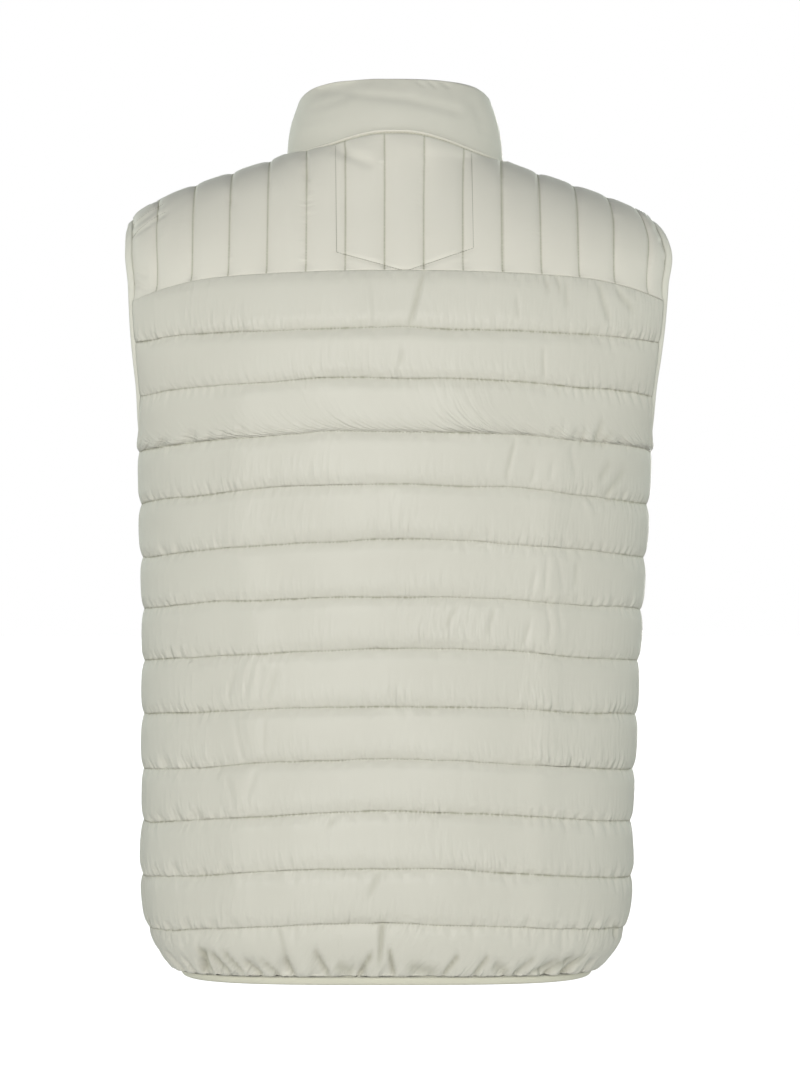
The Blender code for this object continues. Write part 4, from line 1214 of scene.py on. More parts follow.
# Sections of a tooth: levels over the zip's middle, and how far the outline is drawn in.
TOOTH_SECTIONS = (
    (-CHAIN_THICK / 2, TOOTH_BEVEL),
    (-CHAIN_THICK / 2 + TOOTH_BEVEL, 0.0),
    (CHAIN_THICK / 2 - TOOTH_BEVEL, 0.0),
    (CHAIN_THICK / 2, TOOTH_BEVEL),
)
# Outline of a strip of zip tape, as shares of its width and thickness.
STRIP_OUTLINE = (
    (0, -0.3), (0.15, -0.5), (0.85, -0.5), (1, -0.3), (1, 0.3), (0.85, 0.5), (0.15, 0.5), (0, 0.3))


def zip_line(neck_front):
    """Points, upward and outward directions up the centre front, from the hem to the collar's top."""
    foot, top = (p[0] for p in collar_faces(neck_front[None, :]))
    levels = np.linspace(ZIP_FOOT, neck_front[2] - ZIP_BEND, 36)
    centre, front = section(levels)[[0, 3]]
    path = np.stack([centre, -front, levels], axis=-1)
    path = path + normals(path) * WALL * ZIP_DEPTH
    share = np.linspace(0.12, 0.985, 10)[:, None]
    rise = foot + (top - foot) * share
    rise[:, 0] = FRONT_CENTRE
    rise[:, 1] += COLLAR_THICK * 0.5
    path = np.concatenate([path, rise])
    for _ in range(6):
        path[1:-1] = (path[:-2] + 2 * path[1:-1] + path[2:]) / 4
    path[:, 0] = np.where(path[:, 2] < ROWS[0].level, section(path[:, 2])[0], FRONT_CENTRE)
    run = np.gradient(path, axis=0)
    run[:, 0] = 0.0
    run = unit(run)
    out = np.cross(np.array([1.0, 0.0, 0.0]), run)
    out *= np.where(out[:, 1] > 0, -1.0, 1.0)[:, None]
    return path, run, out


def tooth_outline(inset):
    """Outline of a tooth, as distances across the zip and along it."""
    tip = TOOTH_LENGTH * 0.5 - inset
    waist = TOOTH_LENGTH * 0.36 - inset * 0.7
    return (
        (CHAIN_HALF - inset, -tip * 0.8), (CHAIN_HALF - inset, tip * 0.8), (TOOTH_WAIST, waist),
        (TOOTH_TIP + TOOTH_HEAD, tip), (TOOTH_TIP + inset, tip * 0.4), (TOOTH_TIP + inset, -tip * 0.4),
        (TOOTH_TIP + TOOTH_HEAD, -tip), (TOOTH_WAIST, -waist))


def zip_teeth(path, run, out, low, high):
    """Moulded teeth of the closed zip, which reach across the centre in turn from each side."""
    length = run_length(path, 0)
    start, stop = (np.interp(level, path[:, 2], length) for level in (low, high))
    places = np.arange(start + TOOTH_PITCH / 2, stop - TOOTH_PITCH / 2, TOOTH_PITCH / 2)
    points = []
    faces = []
    for k, place in enumerate(places):
        p, u, n = (at_places(place, length, line) for line in (path, run, out))
        across = np.array([1.0 if k % 2 else -1.0, 0.0, 0.0])
        first = len(points)
        for level, inset in TOOTH_SECTIONS:
            points += [p + across * x + u * y + n * level for x, y in tooth_outline(inset)]
        number = first + np.arange(len(TOOTH_SECTIONS) * TOOTH_SIDES).reshape(-1, TOOTH_SIDES)
        faces += quads(np.concatenate([number, number[:, :1]], axis=1))
        faces += [number[0].tolist(), number[-1].tolist()]
    return new_mesh("zip_teeth", np.array(points), faces, smooth_faces=False)


def zip_tape_strip(name, path, out, levels, span, thick):
    """Strip of zip tape between two levels, from one distance to another from the zip's centre line."""
    inner = path[(path[:, 2] > levels[0]) & (path[:, 2] < levels[1]), 2]
    heights = np.concatenate([levels[:1], inner, levels[1:]])
    place, face = (at_places(heights, path[:, 2], line) for line in (path, out))
    rings = []
    for x, y in STRIP_OUTLINE:
        aside = span[0] + (span[1] - span[0]) * x
        rings.append(place + np.array([aside, 0.0, 0.0]) + face * (y * thick))
    return loft(name, np.array(rings), False, "zip_tape")


EDGE_ROUND = 0.0003


def softened(node, name, body):
    """Copy of a hard piece with its edges rounded."""
    source = bpy.data.objects[node]
    mesh = source.data.copy()
    obj = bpy.data.objects.new(name, mesh)
    bpy.context.scene.collection.objects.link(obj)
    bevel = obj.modifiers.new("rounded_edges", "BEVEL")
    bevel.width = EDGE_ROUND
    bevel.segments = 2
    bevel.limit_method = "ANGLE"
    bevel.angle_limit = math.radians(40.0)
    bevel.use_clamp_overlap = True
    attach(obj, body)
    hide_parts(node)
    return obj


# Finishes

def shader_group(name, inputs, outputs):
    """Node group with float or vector inputs and float outputs."""
    tree = bpy.data.node_groups.new(name, "ShaderNodeTree")
    for word, value in inputs:
        kind = "NodeSocketVector" if value is None else "NodeSocketFloat"
        socket = tree.interface.new_socket(name=word, in_out="INPUT", socket_type=kind)
        if value is not None:
            socket.default_value = value
    for word in outputs:
        tree.interface.new_socket(name=word, in_out="OUTPUT", socket_type="NodeSocketFloat")
    return tree, tree.nodes.new("NodeGroupInput"), tree.nodes.new("NodeGroupOutput")


def set_inputs(tree, sockets, values):
    """Give sockets their values, each a number, a colour or another socket."""
    for socket, value in zip(sockets, values):
        if isinstance(value, (int, float)):
            socket.default_value = value
        elif isinstance(value, tuple):
            socket.default_value = (*value, 1.0)
        else:
            tree.links.new(value, socket)


def math_node(tree, operation, *values):
    """Output of a math node whose inputs are numbers or sockets."""
    node = tree.nodes.new("ShaderNodeMath")
    node.operation = operation
    set_inputs(tree, node.inputs, values)
    return node.outputs[0]


def noise_node(tree, place, scale, detail):
    """Output of a noise texture over a place."""
    noise = tree.nodes.new("ShaderNodeTexNoise")
    set_inputs(tree, (noise.inputs["Vector"], noise.inputs["Scale"]), (place, scale))
    noise.inputs["Detail"].default_value = detail
    return noise.outputs["Fac"]


def place_group(tree, group, **values):
    """Group node in a material, with numbers or sockets for its inputs."""
    node = tree.nodes.new("ShaderNodeGroup")
    node.node_tree = group
    set_inputs(tree, [node.inputs[word] for word in values], values.values())
    return node


def mix_colour(tree, share, first, second):
    """Colour between two colours, each a triple or a socket."""
    node = tree.nodes.new("ShaderNodeMix")
    node.data_type = "RGBA"
    set_inputs(tree, (node.inputs[0], node.inputs[6], node.inputs[7]), (share, first, second))
    return node.outputs[2]


def weave_group():
    """Plain weave: threads that pass over and under each other."""
    inputs = [("Place", None), ("Threads", 2500.0)]
    tree, given, made = shader_group("plain_weave", inputs, ["Height"])
    parts = tree.nodes.new("ShaderNodeSeparateXYZ")
    tree.links.new(given.outputs["Place"], parts.inputs[0])
    waves = []
    for axis in (0, 1):
        turn = math_node(tree, "MULTIPLY", parts.outputs[axis], given.outputs["Threads"])
        waves.append(math_node(tree, "SINE", math_node(tree, "MULTIPLY", turn, math.pi)))
    product = math_node(tree, "MULTIPLY", *waves)
    tree.links.new(math_node(tree, "MULTIPLY_ADD", product, 0.5, 0.5), made.inputs["Height"])
    return tree


PUCKER_SHAPE = (1.0, 0.22, 1.0)        # puckers are long across a line of stitching and short along it
PIT_CONTRAST = 3.0
PIT_BALANCE = -0.9
LEAST_PIT = 0.2


def unevenness_group():
    """Slow change of tone over the cloth, fine crinkles, puckers at the stitching, and painted shade
    along the stitching, in its pits and in the bottoms of folds.
    """
    inputs = [
        ("Place", None), ("Patch", 14.0), ("Crinkle", 230.0), ("Pucker", 210.0), ("Bead", 430.0),
        ("Beading", 1.0)]
    outputs = ["Tone", "Crinkles", "Puckers", "Sewn"]
    tree, given, made = shader_group("cloth_unevenness", inputs, outputs)
    given = given.outputs
    drawn_out = tree.nodes.new("ShaderNodeVectorMath")
    drawn_out.operation = "MULTIPLY"
    drawn_out.inputs[1].default_value = PUCKER_SHAPE
    tree.links.new(given["Place"], drawn_out.inputs[0])
    long_place = drawn_out.outputs[0]
    tree.links.new(noise_node(tree, given["Place"], given["Patch"], 3.0), made.inputs["Tone"])
    tree.links.new(noise_node(tree, given["Place"], given["Crinkle"], 2.0), made.inputs["Crinkles"])
    puckers = noise_node(tree, long_place, given["Pucker"], 1.0)
    beads = noise_node(tree, long_place, given["Bead"], 0.0)
    fields = {}
    for word in ("sewn", "drawn", "hollow"):
        field = tree.nodes.new("ShaderNodeAttribute")
        field.attribute_name = word
        fields[word] = field.outputs["Fac"]
    tree.links.new(math_node(tree, "MULTIPLY", puckers, fields["drawn"]), made.inputs["Puckers"])
    # A line of stitching shows as a row of small pits of painted shade, more or less clearly.
    pits = math_node(tree, "MULTIPLY_ADD", beads, PIT_CONTRAST, PIT_BALANCE)
    pits = math_node(tree, "MINIMUM", math_node(tree, "MAXIMUM", pits, LEAST_PIT), 1.0)
    plain = math_node(tree, "SUBTRACT", 1.0, given["Beading"])
    pits = math_node(tree, "MULTIPLY_ADD", pits, given["Beading"], plain)
    pits = math_node(tree, "MULTIPLY", fields["sewn"], pits)
    # Painted shade in the bottoms of folds joins the painted shade of the stitching.
    tree.links.new(math_node(tree, "MAXIMUM", pits, fields["hollow"]), made.inputs["Sewn"])
    return tree


def new_material(name):
    """Material with its node tree and shader."""
    material = bpy.data.materials.new(name)
    material.use_nodes = True
    return material, material.node_tree, material.node_tree.nodes["Principled BSDF"]


def bump_to(tree, height, shader):
    """Relief in metres."""
    bump = tree.nodes.new("ShaderNodeBump")
    bump.inputs["Distance"].default_value = 1.0
    tree.links.new(height, bump.inputs["Height"])
    tree.links.new(bump.outputs[0], shader.inputs["Normal"])


# sewn is the colour of the painted shade along lines of stitching, in their pits and in the bottoms of
# folds.
Cloth = namedtuple(
    "Cloth", "light dark sewn beading threads relief crinkle pucker roughness sheen specular")
SHELL_CLOTH = Cloth(
    light=(0.70, 0.68, 0.615), dark=(0.64, 0.62, 0.555), sewn=(0.42, 0.41, 0.325), beading=1.0,
    threads=2500.0, relief=2e-5, crinkle=3e-5, pucker=3.0e-3,
    roughness=0.40, sheen=0.0, specular=0.33)
# The yokes are cut across the cloth. Their colour is painted lighter than the shell's, as painted light,
# and the painted shade along their stitching is lighter too.
YOKE_CLOTH = SHELL_CLOTH._replace(
    light=(0.79, 0.76, 0.69), dark=(0.73, 0.70, 0.63), sewn=(0.50, 0.49, 0.40), beading=0.25)
ELASTIC_CLOTH = Cloth(
    light=(0.80, 0.785, 0.71), dark=(0.75, 0.735, 0.66), sewn=(0.42, 0.41, 0.35), beading=0.0,
    threads=1700.0, relief=6e-5, crinkle=5e-5, pucker=0.0,
    roughness=0.65, sheen=0.15, specular=0.25)
HEM_CLOTH = ELASTIC_CLOTH._replace(light=(0.745, 0.725, 0.61), dark=(0.685, 0.665, 0.56))
WEBBING_CLOTH = Cloth(
    light=(0.62, 0.60, 0.53), dark=(0.56, 0.55, 0.48), sewn=(0.40, 0.39, 0.34), beading=0.0,
    threads=1500.0, relief=8e-5, crinkle=3e-5, pucker=0.0,
    roughness=0.75, sheen=0.2, specular=0.2)
# The thread is coloured darker than the shell: partly its own colour and partly painted shade of the pits
# it sinks into.
THREAD_CLOTH = Cloth(
    light=(0.42, 0.405, 0.31), dark=(0.37, 0.355, 0.27), sewn=(0.36, 0.35, 0.27), beading=0.0,
    threads=3000.0, relief=1e-5, crinkle=5e-6, pucker=0.0,
    roughness=0.55, sheen=0.1, specular=0.3)
TOPSTITCH_CLOTH = THREAD_CLOTH._replace(light=(0.40, 0.39, 0.33), dark=(0.36, 0.35, 0.30))


def cloth_material(name, finish, groups, mapped=True):
    """Woven cloth: tone patches, painted shade along its lines of stitching and in its folds, weave and
    crinkles in its relief.
    """
    material, tree, shader = new_material(name)
    if mapped:
        source = tree.nodes.new("ShaderNodeUVMap")
        source.uv_map = "cloth"
        place = source.outputs[0]
    else:
        place = tree.nodes.new("ShaderNodeTexCoord").outputs["Object"]
    weave = place_group(tree, groups["weave"], Place=place, Threads=finish.threads)
    uneven = place_group(tree, groups["uneven"], Place=place, Beading=finish.beading)
    tone = mix_colour(tree, uneven.outputs["Tone"], finish.light, finish.dark)
    colour = mix_colour(tree, uneven.outputs["Sewn"], tone, finish.sewn)
    tree.links.new(colour, shader.inputs["Base Color"])
    rough = math_node(tree, "MULTIPLY_ADD", uneven.outputs["Tone"], 0.10, finish.roughness - 0.05)
    tree.links.new(rough, shader.inputs["Roughness"])
    height = math_node(tree, "MULTIPLY", uneven.outputs["Crinkles"], finish.crinkle)
    height = math_node(tree, "MULTIPLY_ADD", uneven.outputs["Puckers"], finish.pucker, height)
    bump_to(tree, math_node(tree, "MULTIPLY_ADD", weave.outputs["Height"], finish.relief, height), shader)
    shader.inputs["Sheen Weight"].default_value = finish.sheen
    shader.inputs["Specular IOR Level"].default_value = finish.specular
    return material


Hard = namedtuple("Hard", "light dark roughness scale relief")
PLASTIC = Hard((0.58, 0.57, 0.50), (0.52, 0.51, 0.44), 0.38, 900.0, 2e-6)
ENAMEL = Hard((0.56, 0.55, 0.48), (0.50, 0.49, 0.43), 0.30, 1400.0, 1.5e-6)


def hard_material(name, finish):
    """Moulded or enamelled finish with a fine uneven skin."""
    material, tree, shader = new_material(name)
    place = tree.nodes.new("ShaderNodeTexCoord").outputs["Object"]
    skin = noise_node(tree, place, finish.scale, 4.0)
    tree.links.new(mix_colour(tree, skin, finish.light, finish.dark), shader.inputs["Base Color"])
    rough = math_node(tree, "MULTIPLY_ADD", skin, 0.2, finish.roughness - 0.1)
    tree.links.new(rough, shader.inputs["Roughness"])
    bump_to(tree, math_node(tree, "MULTIPLY", skin, finish.relief), shader)
    return material


# Studio

LENS = 111.1
SENSOR = 36.0
FLOOR = -1.35
FLOOR_HALF = 30.0
FLOOR_GLOW = 0.10        # light that the floor throws up at the vest
PAPER_GRAIN = 90.0
PAPER_DARK = (0.72, 0.72, 0.70)
PAPER_LIGHT = (0.76, 0.76, 0.74)
WHITE = (1.0, 1.0, 1.0)

Lamp = namedtuple("Lamp", "name place size power")
LAMPS = (
    Lamp("back_key", (0.30, 3.0, 0.05), (1.5, 1.3), 33.5),
    Lamp("front_key", (-0.30, -3.0, -0.10), (1.5, 1.3), 34.0),
)
LAMP_COLOUR = (1.0, 0.955, 0.93)
TARGET = Vector((0.0, 0.0, -0.35))
AIR_LEVEL = (0.975, 1.045, 0.955)       # light from the sides and from below
AIR_ABOVE = (0.06, 0.07, 0.10)
AIR_SPAN = (0.05, 0.55)                 # heights between which the air darkens
AIR_BRIGHTER = ((0.22, 1.28), (0.38, 1.15))    # heights where it is brighter first, and how much


def camera_only(tree):
    """One for what the camera sees directly, and zero for light that falls on the vest."""
    return tree.nodes.new("ShaderNodeLightPath").outputs["Is Camera Ray"]


def floor_piece():
    """Pale floor far under the vest."""
    mesh = bpy.data.meshes.new("floor")
    signs = ((-1, -1), (1, -1), (1, 1), (-1, 1))
    mesh.from_pydata([(FLOOR_HALF * x, FLOOR_HALF * y, FLOOR) for x, y in signs], [], [(0, 1, 2, 3)])
    obj = bpy.data.objects.new("floor", mesh)
    bpy.context.scene.collection.objects.link(obj)
    material, tree, shader = new_material("pale_paper")
    grain = tree.nodes.new("ShaderNodeTexNoise")
    grain.inputs["Scale"].default_value = PAPER_GRAIN
    paper = mix_colour(tree, grain.outputs["Fac"], PAPER_DARK, PAPER_LIGHT)
    tree.links.new(paper, shader.inputs["Base Color"])
    shader.inputs["Roughness"].default_value = 0.9
    shader.inputs["Emission Color"].default_value = (*WHITE, 1.0)
    glow = math_node(tree, "MULTIPLY_ADD", camera_only(tree), 1.0 - FLOOR_GLOW, FLOOR_GLOW)
    tree.links.new(glow, shader.inputs["Emission Strength"])
    mesh.materials.append(material)


def studio_air():
    """Even pale air, dark overhead, that the camera sees as white."""
    world = bpy.data.worlds.new("studio_air")
    bpy.context.scene.world = world
    world.use_nodes = True
    tree = world.node_tree
    parts = tree.nodes.new("ShaderNodeSeparateXYZ")
    tree.links.new(tree.nodes.new("ShaderNodeTexCoord").outputs["Generated"], parts.inputs[0])
    height = tree.nodes.new("ShaderNodeValToRGB")
    stops = height.color_ramp.elements
    for stop, place, colour in zip(stops, AIR_SPAN, (AIR_LEVEL, AIR_ABOVE)):
        stop.position = place
        stop.color = (*colour, 1.0)
    for place, share in AIR_BRIGHTER:
        stop = stops.new(place)
        stop.color = (*(share * c for c in AIR_LEVEL), 1.0)
    tree.links.new(parts.outputs["Z"], height.inputs[0])
    seen = mix_colour(tree, camera_only(tree), height.outputs[0], WHITE)
    tree.links.new(seen, tree.nodes["Background"].inputs["Color"])


def area_light(lamp):
    """Soft rectangular light that faces the vest."""
    light = bpy.data.lights.new(lamp.name, "AREA")
    light.shape = "RECTANGLE"
    light.size, light.size_y = lamp.size
    light.energy = lamp.power
    light.color = LAMP_COLOUR
    obj = bpy.data.objects.new(lamp.name, light)
    obj.location = lamp.place
    obj.rotation_euler = (TARGET - obj.location).to_track_quat("-Z", "Y").to_euler()
    bpy.context.scene.collection.objects.link(obj)


def studio():
    """Camera at the photograph's place, soft lights behind it and before the front, and a floor."""
    scene = bpy.context.scene
    data = bpy.data.cameras.new("camera")
    data.lens = LENS
    data.sensor_width = SENSOR
    camera = bpy.data.objects.new("camera", data)
    camera.location = (0.0, CAMERA_BACK, CAMERA_LEVEL)
    camera.rotation_euler = (math.radians(90.0), 0.0, math.radians(180.0))
    scene.collection.objects.link(camera)
    scene.camera = camera
    scene.view_settings.view_transform = "Standard"
    floor_piece()
    studio_air()
    for lamp in LAMPS:
        area_light(lamp)


# Padded pieces

BODY_DIP = 0.0014        # how far the wadding presses the inner cloth in
YOKE_DIP = 0.0010
BODY_LINE = 0.0008       # half width of the painted shade along a level line of stitching
YOKE_LINE = 0.00065
DEEP_FOLD = 0.0035       # depth at which the painted shade in a fold's bottom is strongest
# most painted shade in a fold, as a share of the way to the sewn colour
FOLD_PAINTED_SHADE = 0.6
PUCKER_ABOVE = 0.010     # reach of fine puckers above a level line of stitching
PUCKER_BELOW = 0.005
PUCKER_BESIDE = 0.005    # the same beside an upright line
SEAM_LINE = 0.0010       # width of the painted shade along the shoulder seam
LEAST_OPEN = 0.35        # share of a line's painted shade where the padding hides it
INNER_STEPS = (4, 8)     # rows and columns of the outer cloth to one of the inner cloth
YOKE_INNER_STEPS = (8, 6)


def marks(count, step):
    """Every so many numbers below a count, with the last one."""
    found = list(range(0, count, step))
    return found if found[-1] == count - 1 else [*found, count - 1]


def from_stitching(shares, pitch):
    """Distance to the lines of stitching before and after, in metres."""
    return shares * pitch, (1 - shares) * pitch


def doubled_field(field, axis):
    """Field on the grid with one point added between each two along an axis."""
    return doubled(field[..., None], axis)[..., 0]


def finer(field):
    """Field on the grid with one point added between each two, both ways."""
    for axis in (0, 1):
        field = doubled_field(field, axis)
    return np.clip(field, 0.0, 1.0)


def closed_piece(name, node, outer, inner, steps, fields, upright):
    """Padded piece with its inner cloth, in place of a solid."""
    rows = marks(outer.shape[0], steps[0])
    columns = marks(outer.shape[1], steps[1])
    piece = padded_panel(name, outer, inner, rows, columns, fields, upright)
    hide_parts(node)
    return piece


def body_piece(name, node, quilt):
    """Padded body panel, closed by its inner cloth."""
    above, below = from_stitching(quilt.shares, BODY_PITCH)
    outer = doubled(quilt.cloth, 1)
    outs = doubled(quilt.out, 1)
    pressed = crease_shift(outer, outs, BODY_CREASES)
    outer = outer + outs * pressed[..., None]
    dip = BODY_DIP * np.sin(math.pi * quilt.shares)
    inner = doubled(quilt.base - quilt.out * dip[:, None, None], 1)
    # Painted shade along the level lines of stitching, with less of it at the yoke seam and at the hem.
    sewn = np.exp(-(np.minimum(above, below) / BODY_LINE) ** 2)
    sewn[:2] *= 0.3
    sewn[-2:] *= 0.5
    drawn = np.maximum(np.exp(-below / PUCKER_ABOVE), 0.5 * np.exp(-above / PUCKER_BELOW))[:, None]
    drawn = np.clip(drawn * (0.8 + 0.8 * quilt.patch) + 0.15 * quilt.patch, 0.0, 1.2)
    # The painted shade along the stitching is full in stretches where the line lies open, and weaker in
    # others where the padding hides it.
    open_line = soft_noise(np.random.default_rng(len(name)), outer.shape[:2], (LAST_ROW, 10))
    sewn = sewn[:, None] * (LEAST_OPEN + (1 - LEAST_OPEN) * smooth(open_line, -0.2, 0.5))
    # Painted shade along the panel's two side edges.
    sewn[:, [0, -1]] = np.maximum(sewn[:, [0, -1]], 0.5)
    # Painted shade in the bottoms of the folds pressed in.
    hollow = FOLD_PAINTED_SHADE * np.clip(-pressed / DEEP_FOLD, 0.0, 1.0)
    fields = {"sewn": sewn, "drawn": doubled_field(drawn, 1), "hollow": hollow}
    return closed_piece(name, node, outer, inner, INNER_STEPS, fields, False)


def yoke_piece(name, node, quilt):
    """Padded yoke, closed by its inner cloth."""
    before, after = from_stitching(quilt.shares, YOKE_PITCH)
    outer = doubled(doubled(quilt.cloth, 1), 0)
    outer = creased(outer, doubled(doubled(quilt.out, 1), 0), YOKE_CREASES)
    dip = YOKE_DIP * np.sin(math.pi * quilt.shares)
    dip = dip * np.sin(math.pi * np.linspace(0.0, 1.0, len(quilt.base)))[:, None]
    inner = doubled(doubled(quilt.base - quilt.out * dip[..., None], 1), 0)
    near = np.minimum(before, after)
    # Painted shade along the upright lines of stitching, the felled neck seam and the plain shoulder
    # seam.
    sewn = 0.9 * np.exp(-(near / YOKE_LINE) ** 2) * (1 - 0.35 * quilt.patch)
    felled = np.array([r.sewn for r in RIDGE])[:, None]
    plain_seam = np.maximum(0.0, 0.8 - RIDGE_DISTANCE / SEAM_LINE)
    plain_seam = np.maximum(plain_seam, sewn[-len(RIDGE):])
    sewn[-len(RIDGE):] = plain_seam + (felled - plain_seam) * quilt.neck
    drawn = 0.5 * np.exp(-near / PUCKER_BESIDE) * (0.25 + 0.75 * quilt.patch)
    drawn[-len(RIDGE):] = 0.0
    fields = {"sewn": finer(sewn), "drawn": finer(drawn)}
    return closed_piece(name, node, outer, inner, YOKE_INNER_STEPS, fields, True)


# Single lines of stitching on the back yoke, in photograph pixels: a shield outline and the felled
# shoulder seam.
YOKE_STITCHING = (
    ((335, 146), (336, 252)),
    ((336, 252), (405, 271)),
    ((405, 271), (473, 248)),
    ((473, 248), (471, 148)),
    ((163, 204), (146, 213), (134, 223), (128, 231)),
    ((165, 212), (150, 220), (138, 230), (130, 240)),
)
STITCHING_STEP = 3       # pixels between two points of such a line
TOPSTITCH_SIZES = {"pitch": 0.0024, "length": 0.0026}


def between(points, step):
    """Photograph pixels at even steps along a line through points."""
    points = np.array(points, float)
    run = run_length(points, 0)
    return at_places(np.linspace(0.0, run[-1], max(2, int(run[-1] / step))), run, points)


def on_cloth(quilt, spots):
    """Points of a back panel at photograph pixels, with outward directions."""
    across, down = in_picture(quilt.cloth)
    both = np.concatenate([quilt.cloth, quilt.out], axis=-1)
    line = []
    for x, y in spots:
        column = [np.interp(-x, -row, np.arange(len(row))) for row in across]
        level = [np.interp(c, np.arange(len(row)), row) for c, row in zip(column, down)]
        r = np.interp(-y, -np.array(level), np.arange(len(level)))
        low = min(int(r), len(level) - 2)
        value = 0.0
        for row, weight in ((low, low + 1 - r), (low + 1, r - low)):
            c = column[row]
            i = min(int(c), both.shape[1] - 2)
            value = value + weight * (both[row, i] * (i + 1 - c) + both[row, i + 1] * (c - i))
        line.append(value)
    line = np.array(line)
    return line[:, :3], line[:, 3:]


# Assembly

Panel = namedtuple("Panel", "name node facing side columns seed")
BODIES = (
    Panel("back_body", "back_panel", 1, 0, 160, 3),
    Panel("front_body_left", "front_panel_left", -1, 1, 84, 4),
    Panel("front_body_right", "front_panel_right", -1, -1, 84, 5),
)
YOKES = (
    Panel("back_yoke_quilted", "back_yoke", 1, 0, None, 6),
    Panel("front_yoke_left_quilted", "front_yoke_left", -1, 1, None, 7),
    Panel("front_yoke_right_quilted", "front_yoke_right", -1, -1, None, 8),
)
ARMHOLE_POINTS = 420
ARMHOLE_OUTWARD = 0.22   # distance of an armhole's middle from the centre line
HEM_POINTS = 700
FAR_BELOW = np.array([0.0, 0.0, -2.0])
CORD_IN = 0.0009         # from the centre line of the zip to the corded edge of a tape
CORD_THICK = 0.0013
LAP = 0.0002             # of a tape's corded edge and its seam over the tape
SEAM_THICK = 1.1 * TAPE_THICK
SLIDER_DOWN = 0.012      # middle of the slider under the zip's upper end
SLIDER_HALF = 0.0062
TAPE_END = 0.0005        # from the ends of the zip line to those of its tapes


def body_panels(finish):
    """Body panels with their finish, and the lines of stitching on them."""
    lines = []
    for panel in BODIES:
        quilt = body_panel(panel.facing, panel.side, panel.columns, panel.seed)
        piece = body_piece(panel.name, panel.node, quilt)
        piece.data.materials.append(finish)
        pressed = creased(quilt.cloth, quilt.out, BODY_CREASES)
        rows = np.flatnonzero(quilt.shares == 0.0)[1:-1]
        lines += [(pressed[r], quilt.out[r]) for r in rows]
    return lines


def yoke_panels(finish):
    """Yokes with their finish, the lines of stitching on them, and the back yoke's topstitching."""
    lines = []
    topstitch = []
    for panel in YOKES:
        quilt = yoke_panel(panel.facing, panel.side, panel.seed)
        piece = yoke_piece(panel.name, panel.node, quilt)
        piece.data.materials.append(finish)
        low = len(quilt.cloth) - len(RIDGE)
        for c in np.flatnonzero(quilt.shares == 0.0)[1:-1]:
            stop = low if quilt.neck[c] > 0.5 else -1
            lines.append((quilt.cloth[:stop, c], quilt.out[:stop, c]))
        round_neck = quilt.neck > 0.5
        lines.append((quilt.cloth[low + 1, round_neck], quilt.out[low + 1, round_neck]))
        if panel.facing > 0:
            pressed = quilt._replace(cloth=creased(quilt.cloth, quilt.out, YOKE_CREASES))
            topstitch = [on_cloth(pressed, between(part, STITCHING_STEP)) for part in YOKE_STITCHING]
    return lines, topstitch


def elastic_tapes(finish, hem_finish):
    """Tapes round the armholes and the hem, and the lines of stitching on them."""
    lines = []
    for side, word, seed in ((1, "left", 31), (-1, "right", 32)):
        points, outs = armhole_edge(side, ARMHOLE_POINTS)
        middle = np.array([side * ARMHOLE_OUTWARD, 0.0, ARMHOLE_MIDDLE])
        tape, line = tape_piece(
            f"armhole_tape_{word}", points, outs, middle, ARMHOLE_TAPE, ARMHOLE_TAPE_THICK, True, seed)
        tape.data.materials.append(finish)
        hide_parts(f"armhole_binding_{word}")
        lines.append((line, outs))
    last = np.array(float(LAST_ROW))
    turn = float(zip_angle(last))
    angles = np.linspace(-turn, turn, HEM_POINTS)
    hem = on_ring(last + 0.0 * angles, angles)
    outs = normals(hem)
    tape, line = tape_piece("hem_tape", hem, outs, FAR_BELOW, HEM_TAPE, HEM_TAPE_THICK, False, 33)
    tape.data.materials.append(hem_finish)
    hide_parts("hem_binding")
    lines.append((line, outs))
    return lines


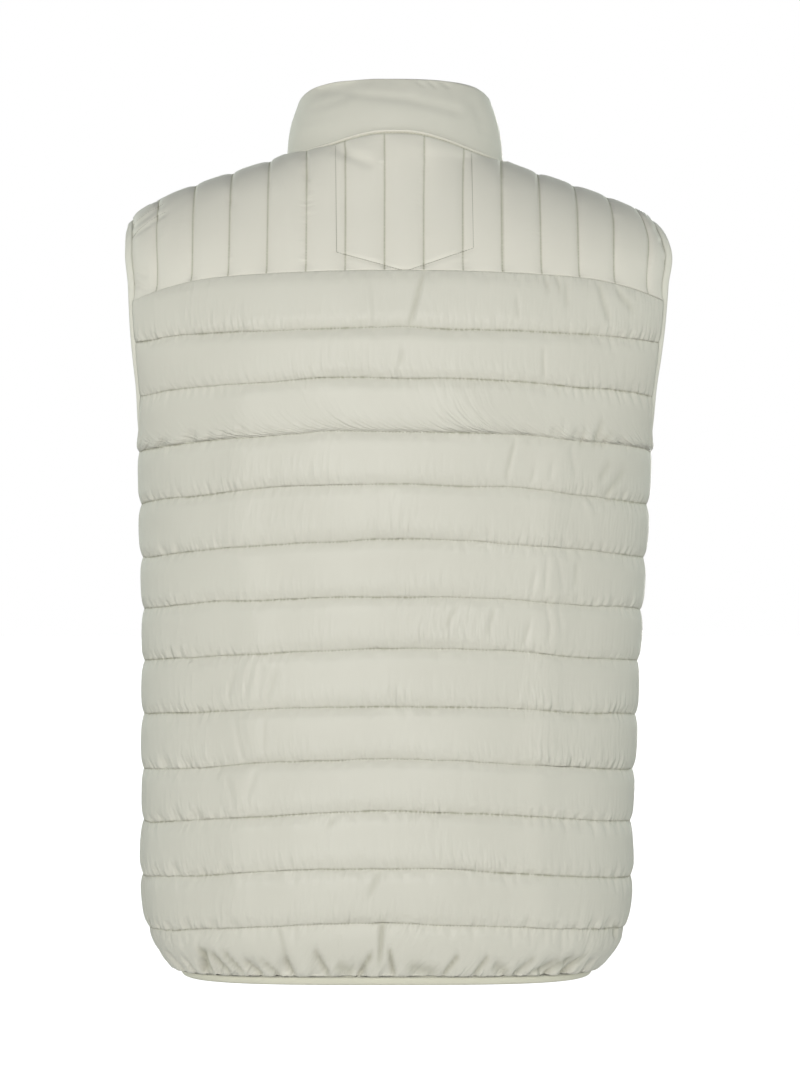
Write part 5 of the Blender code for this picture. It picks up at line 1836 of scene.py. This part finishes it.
def zip_pieces(plastic, enamel, webbing):
    """Teeth, tape strips, box, slider and pull tab of the zip."""
    path, run, out = zip_line(neck_line(COLLAR_COLUMNS)[0])
    foot = path[0][2]
    top = path[-1][2]
    box_top = foot + run[0][2] * ZIP_BOX + SEAM_GAP
    grip = int(np.argmin(np.abs(path[:, 2] - (top - SLIDER_DOWN))))
    chain_top = path[grip][2] - SLIDER_HALF
    teeth = zip_teeth(path, run, out, box_top, chain_top)
    teeth.data.materials.append(plastic)
    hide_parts("zip_chain")
    # The teeth are moulded on the corded edges of the tapes, and the tapes' ends lie beside the box.
    slot_edge = ZIP_SLOT - SEAM_GAP
    strips = (
        ("edge", (box_top, chain_top), (CORD_IN, CHAIN_HALF + LAP), CORD_THICK),
        ("seam", (box_top, top - TAPE_END), (ZIP_SLOT - LAP, slot_edge), SEAM_THICK),
        ("foot", (foot + TAPE_END, box_top - SEAM_GAP), (BOX_HALF + SEAM_GAP, slot_edge), TAPE_THICK))
    for side, word in ((1, "left"), (-1, "right")):
        for part, levels, span, thick in strips:
            span = (side * span[0], side * span[1])
            strip = zip_tape_strip(f"zip_tape_{part}_{word}", path, out, levels, span, thick)
            strip.data.materials.append(webbing)
    for node, name, body, slot, material in (
            ("zip_box", "zip_foot_box", "vest", "zip_teeth", plastic),
            ("zip_slider", "zip_slider_body", "vest", "zip_slider", enamel),
            ("zip_pull", "zip_pull_tab", "pull_tab", "zip_slider", enamel)):
        piece = softened(node, name, body)
        piece.data.materials.clear()
        piece.data.materials.append(material)
    for word in ("left", "right"):
        for slot in bpy.data.objects[f"zip_tape_{word}"].material_slots:
            slot.material = webbing


def build():
    """All pieces of the vest with their finishes."""
    groups = {"weave": weave_group(), "uneven": unevenness_group()}
    shell = cloth_material("satin_shell", SHELL_CLOTH, groups)
    yoke_shell_painted_light = cloth_material("satin_shell_across", YOKE_CLOTH, groups)
    elastic = cloth_material("elastic_tape", ELASTIC_CLOTH, groups)
    hem_elastic = cloth_material("hem_elastic_tape", HEM_CLOTH, groups)
    webbing = cloth_material("zip_webbing", WEBBING_CLOTH, groups, mapped=False)
    thread = cloth_material("sewing_thread", THREAD_CLOTH, groups, mapped=False)
    topstitch_thread = cloth_material("topstitch_thread", TOPSTITCH_CLOTH, groups, mapped=False)
    plastic = hard_material("moulded_teeth", PLASTIC)
    enamel = hard_material("enamelled_metal", ENAMEL)

    body_lines = body_panels(shell)
    yoke_lines, topstitch = yoke_panels(yoke_shell_painted_light)
    collar = collar_piece()
    collar.data.materials.append(shell)
    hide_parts("collar")
    tape_lines = elastic_tapes(elastic, hem_elastic)
    for name, lines, finish, sizes in (
            ("sewing_lines", body_lines + yoke_lines, thread, {}),
            ("tape_sewing", tape_lines, topstitch_thread, {}),
            ("yoke_topstitch", topstitch, topstitch_thread, TOPSTITCH_SIZES)):
        sewn = sewing(name, lines, "shell", **sizes)
        sewn.data.materials.append(finish)
    zip_pieces(plastic, enamel, webbing)


studio()
build()
